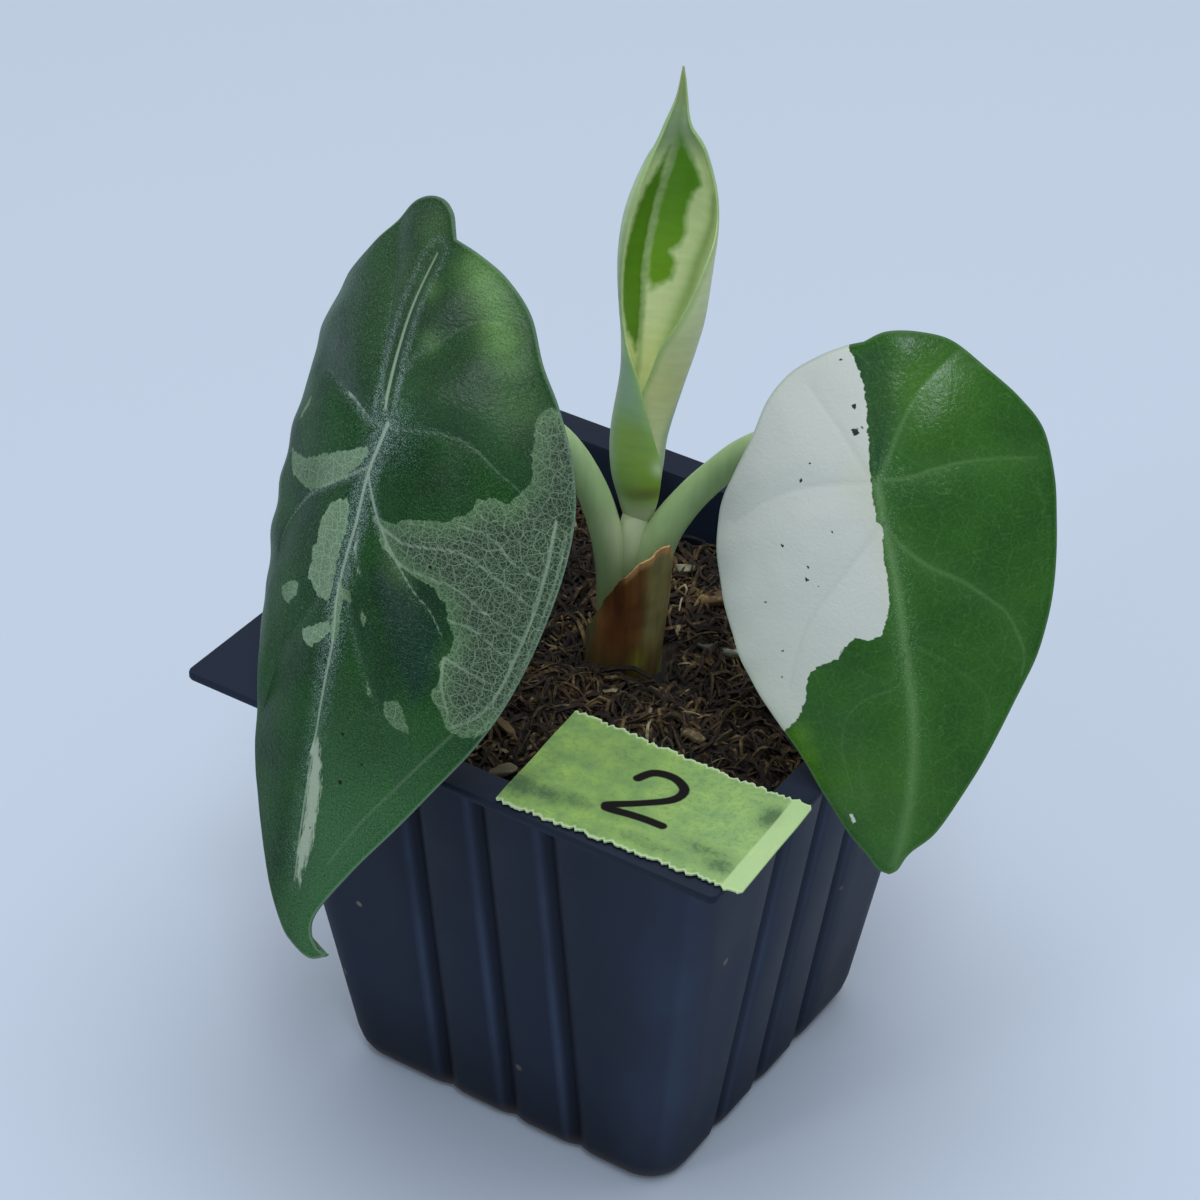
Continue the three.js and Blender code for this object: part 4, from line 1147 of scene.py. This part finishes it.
def underside_material():
    # Underside of the blades: paler and duller, with raised veins, a fine net, and the patches
    # and the creamy half showing through
    material, shader = surface("blade_underside", "#7d9876", Roughness=0.5, IOR=1.45)
    flat, read = pattern_nodes(material)
    broad = clouds(material, flat, 0.15, 4)
    tone = mix(material, broad, "#6b8a68", "#8da585")
    fine = cell_edges(material, flat, 1.0)
    net = ranged(material, fine, 0.02, 0.12, 0.4, 0)
    tone = mix(material, net, tone, "#5a7a58")
    for name, share, colour in (("patch", 0.6, "#9aae90"), ("white", 0.85, "#b3b8aa")):
        inside = ranged(material, read(name), 0.05, 0.4, 0, share)
        tone = mix(material, inside, tone, colour)
    line = ranged(material, read("vein"), 0.7, 2, 0.8, 0)
    tone = mix(material, line, tone, "#a8bb98")
    bump = bumps(material, net, 0.3, 0.1)
    feed(material, shader, Base_Color=tone, Normal=bump)
    return material


# Furled blade: a sheet curled about a leaning axis, open to the front above and rolled up below.
# Each row gives a place on the axis, the curl's radius, the turn of its right margin, and how far
# past the left side its left margin comes, which lies over the right one below. Turns are in
# degrees round the axis, the front at 0 and the left side at 270.
ROLL_FACING = -57.5
ROLL_LEFT_SIDE = 270
ROLL_MIDRIB = 200
ROLL_SPACING = 1.15
ROLL_ROWS = [
    (-1.2, 6.4, 71.6, 1.7, -120, 130), (-1.4, 6.6, 74, 2.2, -120, 140),
    (-1.9, 7.2, 77.4, 2.8, -100, 134), (-2.4, 8.5, 81.4, 3.1, -60, 106),
    (-2.4, 10.5, 87, 3.5, -22, 60), (-2.6, 12, 91, 4.1, -4, 24),
    (-2.9, 13.2, 94.6, 4.7, 22, 16), (-3.6, 14.9, 100, 5.2, 56, 22),
    (-4.2, 16.6, 104, 5.2, 84, 26), (-4.6, 17.8, 107.5, 4.5, 86, 28),
    (-5.2, 19.1, 111, 3.1, 80, 28), (-6, 20, 113.8, 1.6, 70, 28),
    (-6.5, 21.3, 116.7, 0.8, 60, 28), (-7.2, 22.5, 119.8, 0.35, 50, 28),
]
# Its markings, in millimetres round from the midrib towards the left margin, and up from its foot
FURLED_MIDRIB = [(-0.4, 50), (-0.5, 46), (-0.4, 42), (-0.2, 36), (0.2, 32.3), (0.8, 27.9), (0.8, 21),
                 (0.5, 17), (0.2, 0)]
FURLED_STRIP = [(0.3, 42.5), (1.2, 40), (2.2, 37.5), (3.6, 32.5), (4.9, 28), (5.3, 24), (3.9, 21),
                (2.4, 20), (1.3, 18.3), (0.8, 20), (0.9, 28), (0.4, 32.3), (0, 37)]
FURLED_PATCH = [(-0.6, 44), (-2.6, 41.5), (-4.1, 40), (-4.9, 38.3), (-3.9, 37), (-3.5, 34.6),
                (-3.9, 32.8), (-3.2, 31.2), (-2.1, 30.4), (-3, 28.7), (-2.3, 27), (0, 25.6), (0.6, 28),
                (0.1, 32.3), (-0.3, 37)]
FURLED_BAND = [(-7.9, 37), (-8.1, 34.6), (-6.2, 30.1), (-5, 26.4), (-3.6, 22.8), (-2.5, 19)]


def furled_piece(columns=120, rows=180):
    facing = np.array([math.cos(math.radians(ROLL_FACING)), math.sin(math.radians(ROLL_FACING)), 0])
    filled = flowing(ROLL_ROWS, rows)
    middle, radius, right_margin, left_margin = filled[:, :3], filled[:, 3], filled[:, 4], filled[:, 5]
    along = np.gradient(middle, axis=0)
    climbed = np.cumsum(np.linalg.norm(along, axis=1))
    along /= np.linalg.norm(along, axis=1)[:, None]
    front = facing - along * (along @ facing)[:, None]
    front /= np.linalg.norm(front, axis=1)[:, None]
    right = np.cross(along, front)
    wrapped = (ROLL_LEFT_SIDE + left_margin - right_margin)[:, None]
    turn = right_margin[:, None] + wrapped * np.linspace(0, 1, columns)
    rise = ROLL_SPACING * np.minimum(1, radius / 3)[:, None] * (turn - 90) / 360
    arc = np.radians(turn - ROLL_MIDRIB) * radius[:, None]
    height = np.repeat(climbed[:, None], columns, axis=1)
    unrolled = np.column_stack([arc.ravel(), height.ravel()])
    from_midrib, _ = nearest_on(np.array(FURLED_MIDRIB, float), unrolled)
    from_midrib = from_midrib.reshape(arc.shape)
    crease = 0.3 * near(0, 0.9, from_midrib) * np.minimum(1, radius / 3)[:, None]
    wave = 0.1 * np.sin(height * 0.3 + turn * 0.02) * np.minimum(1, radius / 3)[:, None]
    to_margin = np.radians(np.minimum(turn - turn[:, :1], turn[:, -1:] - turn)) * radius[:, None]
    half = (0.08 + 0.17 * (1 - np.exp(-to_margin / 0.5))) * np.minimum(1, radius / 1.6)[:, None]
    rings = []
    for side in (1, -1):
        ridge = 0.35 * near(0, 0.7, from_midrib) * (side > 0) * np.minimum(1, radius / 3)[:, None]
        reach = radius[:, None] - 0.3 + rise + crease + wave + side * half + ridge
        turned = np.radians(turn)[..., None]
        sheet = middle[:, None] + reach[..., None] * (
            np.cos(turned) * front[:, None] + np.sin(turned) * right[:, None])
        rings.append(sheet if side > 0 else sheet[:, ::-1])
    rings = np.concatenate(rings, axis=1)
    closing = [(rings[k] + rings[k, ::-1]) / 2 for k in (0, -1)]
    rings = np.concatenate([closing[0][None], rings, closing[1][None]])

    def both(values):
        values = np.concatenate([values, values[:, ::-1]], axis=1)
        return np.concatenate([values[:1], values, values[-1:]])

    outer = both(np.ones_like(arc))
    outer[:, columns:] = 0
    piece = lofted("furled_blade", rings, arc=both(arc), height=both(height), outer=outer,
                   edge=both(to_margin))
    arc, height, outer, edge = (numbers(piece, key) for key in ("arc", "height", "outer", "edge"))
    flat = np.column_stack([arc, height])
    midrib, _ = nearest_on(np.array(FURLED_MIDRIB, float), flat)
    band, _ = nearest_on(np.array(FURLED_BAND, float), flat)
    tints = np.zeros((len(arc), 3))
    paint(tints, "#dce8b4")
    paint(tints, "#dde39c", 0.7 * near(17, 4, height))
    paint(tints, "#94b162", 0.7 * near(0, 1.0, band))
    paint(tints, "#a6b794", eased(40, 44, height))
    paint(tints, "#a3a582", eased(46, 50, height))

    # Outside: the left margin's flap in front, the right one's beside it, and the back
    flap = outer * eased(4, 6, arc)
    paint(tints, "#9cb488", outer)
    paint(tints, "#c4d09f", outer * eased(-7, -9, arc))
    paint(tints, "#c6cc92", outer * eased(-7, -9, arc) * near(16, 4, height))
    paint(tints, "#8dac8e", flap)
    paint(tints, "#80a152", flap * eased(15, 10, height))
    paint(tints, "#81a43f", flap * eased(9, 6, height) * eased(6.5, 8, arc))
    paint(tints, "#b4c79c", flap * eased(17, 21, height))
    # A painted highlight: a small pale spot low on the outer flap
    paint(tints, "#d0dac0", 0.6 * near(0, 1, np.hypot((arc - 9.6) * 1.6, height - 6.4)) * outer)
    paint(tints, "#8fb070", 0.65 * eased(1.1, 0.2, edge) * eased(8, 12, height))
    paint(tints, "#b4c096", eased(3.4, 1, height))
    # Painted shade: a darker olive-brown low on the outer flap, next to the stalks
    paint(tints, "#6f6a3e", 0.7 * near(3.6, 0.8, height) * near(7.5, 2.5, arc) * outer)
    store(piece, "tint", tints)
    store(piece, "flat", np.column_stack([flat, 0 * arc]))
    store(piece, "midrib", midrib + 9 * outer)
    store(piece, "strip", depth_inside(np.array(FURLED_STRIP, float), flat) - 9 * outer)
    store(piece, "patch", depth_inside(np.array(FURLED_PATCH, float), flat) - 9 * outer)
    smooth(piece, 60)
    return piece


def furled_material():
    # Furled new blade: soft, thin and not yet green all over, so light passes through it
    material, shader = surface(
        "young_blade_tissue", "#a9bf86", Roughness=0.4, IOR=1.42, Specular_IOR_Level=0.3,
        Subsurface_Weight=0.3, Subsurface_Radius=(1.0, 1.4, 0.5), Subsurface_Scale=MM)
    flat, read = pattern_nodes(material)
    height = add(material, "ShaderNodeSeparateXYZ", {0: flat})[1]
    rag = clouds(material, flat, 0.9, 3)
    fresh = ranged(material, height, 26, 38, 0, 1)
    green = mix(material, fresh, "#78a51a", "#689c2c")
    shifted = worked(material, "MULTIPLY_ADD", rag, 0.8, -0.4)
    tone = attribute(material, "tint", 0)
    for name, colour in (("patch", green), ("strip", "#5d8c1f")):
        depth = worked(material, "ADD", read(name), shifted)
        inside = ranged(material, depth, -0.45, 0.5, 0, 1)
        tone = mix(material, inside, tone, colour)
    line = ranged(material, read("midrib"), 0.1, 0.6, 0.5, 0)
    tone = mix(material, line, tone, "#8fae70")
    veins = stretched(material, flat, (0.25, 1.1, 1), turn=-0.9)
    veins = clouds(material, veins, 1, 2)
    shade = ranged(material, veins, 0.3, 0.7, 0.95, 1.05)
    tone = scaled(material, tone, shade)
    bump = bumps(material, veins, 0.05, 0.1)
    feed(material, shader, Base_Color=tone, Normal=bump)
    return material


# Tape

TAPE_CORNERS = {"front_left": (7.1, -34.9), "front_right": (37, -33.3), "back_right": (36, -16.3),
                "back_left": (5.5, -16.3)}
TAPE_TEETH = 27
TAPE_WIDTH = 30
TAPE_LENGTH = 18
TAPE_THICKNESS = 0.2
TAPE_LIFT = 0.32
# Damp smudges: share across, share along, half length, half width and strength
TAPE_SMUDGES = [(0.04, 0.2, 2.2, 1.9, 1), (0.15, 0.21, 3.2, 1.4, 0.75), (0.25, 0.24, 3.4, 1.3, 0.6),
                (0.9, 0.76, 1.5, 2.1, 1), (0.86, 0.17, 2.2, 1.7, 0.75), (0.79, 0.25, 4.2, 1.5, 0.6),
                (0.6, 0.12, 6, 1.3, 0.5), (0.42, 0.3, 5, 2.4, 0.35), (0.3, 0.75, 4.5, 4.5, 0.3)]


def tape_piece(columns=160, rows=90):
    """Paper tape laid across one corner of the lip, its ends cut by a saw-toothed blade."""
    piece, column, row = grid("tape_label", columns, rows)
    across = column / columns
    along = row / rows
    corner = {key: np.array(value, float) for key, value in TAPE_CORNERS.items()}
    front = corner["front_left"] + np.outer(across, corner["front_right"] - corner["front_left"])
    back = corner["back_left"] + np.outer(across, corner["back_right"] - corner["back_left"])
    flat = front + (back - front) * along[:, None]
    place = across * TAPE_TEETH + 0.3 * np.sin(across * 43) + 0.2 * np.sin(across * 19 + 1)
    teeth = abs(place % 1 - 0.5) * 2
    torn = lumps(np.column_stack([across * 30, 0 * across, 0 * across]), 0.45, 6)
    ragged = (0.42 + 0.14 * np.sin(across * 57)) * teeth + 0.35 * torn + 0.12 * np.sin(across * 37 + 2)
    flat[:, 1] += ragged * (1 - along) ** 6 - ragged * along**6
    sag = -0.35 * eased(0.25, 0.6, along) * np.sin(np.pi * np.clip(across, 0, 1)) * (1 - 0.3 * along)
    height = POT_HEIGHT + TAPE_LIFT + sag + 0.12 * lumps(np.column_stack([flat, 0 * along]), 5, 2)
    height += 0.5 * np.clip(along - 0.85, 0, 1) * np.sin(across * 7)
    put(piece, np.column_stack([flat, height]))
    store(piece, "flat", np.column_stack([flat, 0 * along]))
    stroke, _ = nearest_on(spline(NUMERAL, 40), flat)
    store(piece, "stroke", stroke)
    store(piece, "end", np.minimum(along * TAPE_LENGTH, (1 - along) * TAPE_LENGTH))
    store(piece, "side", across * TAPE_WIDTH)
    smudge = np.zeros(len(flat))
    for u, v, long, wide, strength in TAPE_SMUDGES:
        spot = np.hypot((across - u) * TAPE_WIDTH / long, (along - v) * TAPE_LENGTH / wide)
        smudge = np.maximum(smudge, strength * near(0, 1, spot))
    store(piece, "smudge", smudge)
    modify(piece, "SOLIDIFY", thickness=TAPE_THICKNESS * MM, offset=0)
    weld(piece)
    smooth(piece, 40)
    return piece


# A plain hand-drawn numeral on the tape
NUMERAL = [(17.6, -22.6), (18.6, -20.9), (20.9, -20.4), (22.9, -21.6), (22.8, -23.7), (20.4, -26.2),
           (17.6, -28.6), (17.9, -29.1), (20.6, -28.7), (24.3, -28.4)]


def tape_material():
    # Crepe masking tape: matt paper with fine cross wrinkles, dyed yellow-green, and darker
    # where the glue has wet it and it sticks to the lip
    material, shader = surface("crepe_paper_tape", "#93b76b", Roughness=0.85, Specular_IOR_Level=0.2)
    flat, read = pattern_nodes(material)
    wide = clouds(material, flat, 0.4, 5)
    grain = clouds(material, flat, 1.5, 6, Roughness=0.8)
    share = ranged(material, wide, 0.3, 0.7, 0, 1)
    tone = mix(material, share, "#75995c", "#9abb60")
    dry = ranged(material, read("side"), 12, 27, 0, 0.4)
    tone = mix(material, dry, tone, "#a9c98d")
    mottle = ranged(material, grain, 0.34, 0.6, 0.7, 0)
    tone = mix(material, mottle, tone, "#5f7d51")
    spread = worked(material, "MULTIPLY_ADD", grain, 2.6, -1.55)
    damp = worked(material, "ADD", read("smudge"), spread)
    damp = ranged(material, damp, -0.1, 0.55, 0, 0.78)
    tone = mix(material, damp, tone, "#38553d")
    pale_end = ranged(material, read("end"), 0.15, 0.5, 0.85, 0)
    tone = mix(material, pale_end, tone, "#b7cda0")
    pale_side = ranged(material, read("side"), 27.5, 27.7, 0, 0.75)
    tone = mix(material, pale_side, tone, "#b4d096")
    ink = ranged(material, read("stroke"), 0.5, 0.68, 1, 0)
    tone = mix(material, ink, tone, "#0d0809")
    wrinkled = stretched(material, flat, (1, 3.5, 1))
    crepe = clouds(material, wrinkled, 1.4, 3)
    bump = bumps(material, crepe, 0.4, 0.1)
    feed(material, shader, Base_Color=tone, Normal=bump)
    return material


# Building the object

def finished(piece, nodes, material, below=None):
    """Dresses a piece in its material, and a blade's lower faces in another."""
    piece.data.materials.clear()
    piece.data.materials.append(material)
    if below:
        piece.data.materials.append(below)
        upper = numbers(piece, "upper")
        for face in piece.data.polygons:
            face.material_index = int(max(upper[k] for k in face.vertices) < 0.5)
    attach(piece, "root")
    if nodes:
        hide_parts(*nodes)


finished(pot_piece(), ["pot"], pot_plastic())

brown_moss = moss_material("dried_sphagnum_brown", "#0c0805", "#231911", "#403121")
ochre_moss = moss_material("dried_sphagnum_ochre", "#20180e", "#473722", "#75613b")
pale_moss = moss_material("dried_sphagnum_pale", "#5a4d34", "#857a5c", "#aaa184")
finished(moss_bed(), ["moss"], brown_moss)
finished(strands("moss_strands_brown", 3, 3400, 0.21, (3, 10), (0.2, 1.5)), [], brown_moss)
finished(strands("moss_strands_ochre", 5, 1900, 0.19, (2, 9), (0.3, 1.8)), [], ochre_moss)
finished(strands("moss_strands_pale", 8, 110, 0.18, (2, 7), (0.6, 1.9)), [], pale_moss)

# Pieces of stick, root and bark lying in the moss: place, length, width, height, turn and colours
for k, (place, shape, turn, dark, light) in enumerate([
    ((9.2, 9, 54.7), (6.8, 1, 0.8), 14, "#5c5f52", "#8b8e7b"),
    ((14.4, -6, 54.1), (3.4, 1.3, 0.8), -8, "#5f4f36", "#93805f"),
    ((-3.2, 21, 54.6), (2.6, 1.6, 0.8), 35, "#6d6b57", "#9b987f"),
    ((0.4, -23.4, 53.9), (3.2, 1.5, 0.9), 62, "#6a6248", "#98906f"),
    ((-3.8, -17.1, 54.4), (5.2, 1.1, 0.8), -25, "#5c4a2c", "#8c7548"),
    ((3.4, 17.6, 54.8), (5, 2.2, 1.1), 50, "#4a3a23", "#7d6842"),
    ((-7.2, 8, 54.8), (4.6, 2, 1.2), -40, "#3f2f1c", "#6f5a38"),
    ((19, 13.5, 54.5), (4.2, 1.6, 1), 80, "#41311d", "#7a6440"),
    ((8.5, -13.5, 54.6), (4.4, 1.4, 1), 30, "#3a2c1b", "#6b5634"),
]):
    finished(crumb(f"moss_piece_{k + 1}", place, shape, turn), [],
             moss_material(f"bark_and_root_{k + 1}", dark, dark, light))

stalk_foot = STEM_HOLE_FLOOR + 7.8
stalk_skin = skin_material("petiole_skin", 150, 0.1, Roughness=0.45, IOR=1.42, Subsurface_Weight=0.3,
                           Subsurface_Radius=(1.2, 1.6, 0.7), Subsurface_Scale=MM)
dry_skin = skin_material("dried_leaf_sheath", 260, 0.35, Roughness=0.6, IOR=1.45)
left_stalk = tube("left_stalk", [
    (-1.6, 2.6, stalk_foot), (-1.7, 2.6, 54), (-2.1, 2.7, 61), (-2.5, 2.7, 66), (-3.1, 2.1, 71),
    (-4, 0.7, 76.5), (-5.5, -1.5, 82), (-6.8, -4.8, 86.4), (-8.4, -10.5, 90), behind_joint(LEFT_BLADE, 8),
    behind_joint(LEFT_BLADE, 4), behind_joint(LEFT_BLADE, 0.6),
], [2.1, 2.1, 2.0, 1.9, 1.85, 1.8, 1.75, 1.65, 1.55, 1.5, 1.7])
right_stalk = tube("right_stalk", [
    (1.1, 4.1, stalk_foot), (1.1, 4.2, 54), (1.1, 4.4, 61), (1.5, 4.9, 66.6), (2.7, 5.8, 71.2),
    (5.1, 6.9, 75.7), (8, 7.8, 79.7), (11.2, 8, 83.4), (15.1, 8.1, 86.4), (19.7, 8.1, 88.2),
    (24.3, 7, 89.1), (28.4, 4.7, 89.9),
    behind_joint(RIGHT_BLADE, 3), behind_joint(RIGHT_BLADE, 0.6),
], [2.3, 2.3, 2.35, 2.4, 2.1, 1.85, 1.75, 1.7, 1.65, 1.6, 1.6, 1.6])
new_stalk = tube("new_stalk", [
    (-0.9, 6.1, stalk_foot), (-0.8, 5.6, 54), (-0.7, 4.8, 61), (-0.7, 4.4, 66), (-1, 5.1, 70),
    (-1.2, 6.3, 73),
], [1.9, 1.9, 2.2, 2.5, 2.35, 2, 1.5])
for piece, node, slot in (
    (left_stalk, "stalk_left", "stalk_skin"),
    (right_stalk, "stalk_right", "stalk_skin"),
    (new_stalk, "stalk_new", "new_stalk_skin"),
):
    stalk_tints(piece)
    finished(piece, [node], stalk_skin)
finished(sheath_piece(), ["sheath"], dry_skin)

underside = underside_material()
left_piece = blade_piece(
    "left_blade", LEFT_BLADE, {"patch": LEFT_PATCHES, "white": LEFT_WHITES, "painted_shade": LEFT_PAINTED_SHADE}, LEFT_YELLOW_TINTS_AND_HIGHLIGHTS)
finished(left_piece, ["blade_left"], dark_blade_material(), underside)
right_piece = blade_piece(
    "right_blade", RIGHT_BLADE, {"white": RIGHT_WHITES, "painted_shade": RIGHT_PAINTED_SHADE}, RIGHT_YELLOW_TINTS_AND_HIGHLIGHTS)
finished(right_piece, ["blade_right"], green_blade_material(), underside)
finished(furled_piece(), ["blade_new"], furled_material())
finished(tape_piece(), ["tape"], tape_material())

# The knob in the moss keeps its own shape
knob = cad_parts["rhizome"].data
knob.materials.clear()
knob.materials.append(bark_material())

# Floor and lights, in metres
FLOOR_RADIUS = 3
SKY_STRENGTH = 0.42
LIGHT_AIM = (0, 0, 0.06)

unselect()
bpy.ops.mesh.primitive_circle_add(vertices=96, radius=FLOOR_RADIUS, fill_type="NGON")
floor = bpy.context.object
floor.name = "floor"
board, _ = surface("pale_painted_board", "#c1cddc", Roughness=0.8)
floor.data.materials.append(board)

world = bpy.context.scene.world or bpy.data.worlds.new("studio")
bpy.context.scene.world = world
world.use_nodes = True
background = world.node_tree.nodes["Background"]
background.inputs["Color"].default_value = linear("#eef3fa")
background.inputs["Strength"].default_value = SKY_STRENGTH


def soft_light(name, place, size, power, colour):
    lamp = bpy.data.lights.new(name, "AREA")
    lamp.size = size
    lamp.energy = power
    lamp.color = linear(colour)[:3]
    stand = bpy.data.objects.new(name, lamp)
    bpy.context.scene.collection.objects.link(stand)
    stand.location = place
    stand.rotation_euler = (Vector(LIGHT_AIM) - Vector(place)).to_track_quat("-Z", "Y").to_euler()


soft_light("high_softbox", (0.5, -0.62, 1.2), 0.24, 3, "#e2eeff")
soft_light("side_softbox", (-0.34, -1.04, 0.53), 0.22, 1.7, "#eef6ff")
soft_light("top_softbox", (0.06, 0.12, 1.2), 1.2, 10.5, "#fbfcff")

# Camera, where the photo was taken from, in millimetres and degrees
AZIMUTH, ELEVATION, ROLL = (math.radians(a) for a in (32.5, 35.3, 1.34))
DISTANCE = 402.5
AIM_HEIGHT = 60
AIM_LEFT = 1.82
AIM_UP = 2.85
LENS = 105
SENSOR = 36
back = Vector((math.sin(AZIMUTH) * math.cos(ELEVATION), -math.cos(AZIMUTH) * math.cos(ELEVATION),
               math.sin(ELEVATION)))
level = back.cross((0, 0, 1)).normalized() * -1
upward = back.cross(level)
right = level * math.cos(ROLL) + upward * math.sin(ROLL)
up = upward * math.cos(ROLL) - level * math.sin(ROLL)
aim = Vector((0, 0, AIM_HEIGHT)) - right * AIM_LEFT + up * AIM_UP
lens = bpy.data.cameras.new("camera")
lens.lens = LENS
lens.sensor_width = SENSOR
camera = bpy.data.objects.new("camera", lens)
bpy.context.scene.collection.objects.link(camera)
facing = Matrix((right, up, back)).transposed().to_4x4()
camera.matrix_world = Matrix.Translation((aim + back * DISTANCE) * MM) @ facing
bpy.context.scene.camera = camera
bpy.context.scene.view_settings.view_transform = "Standard"
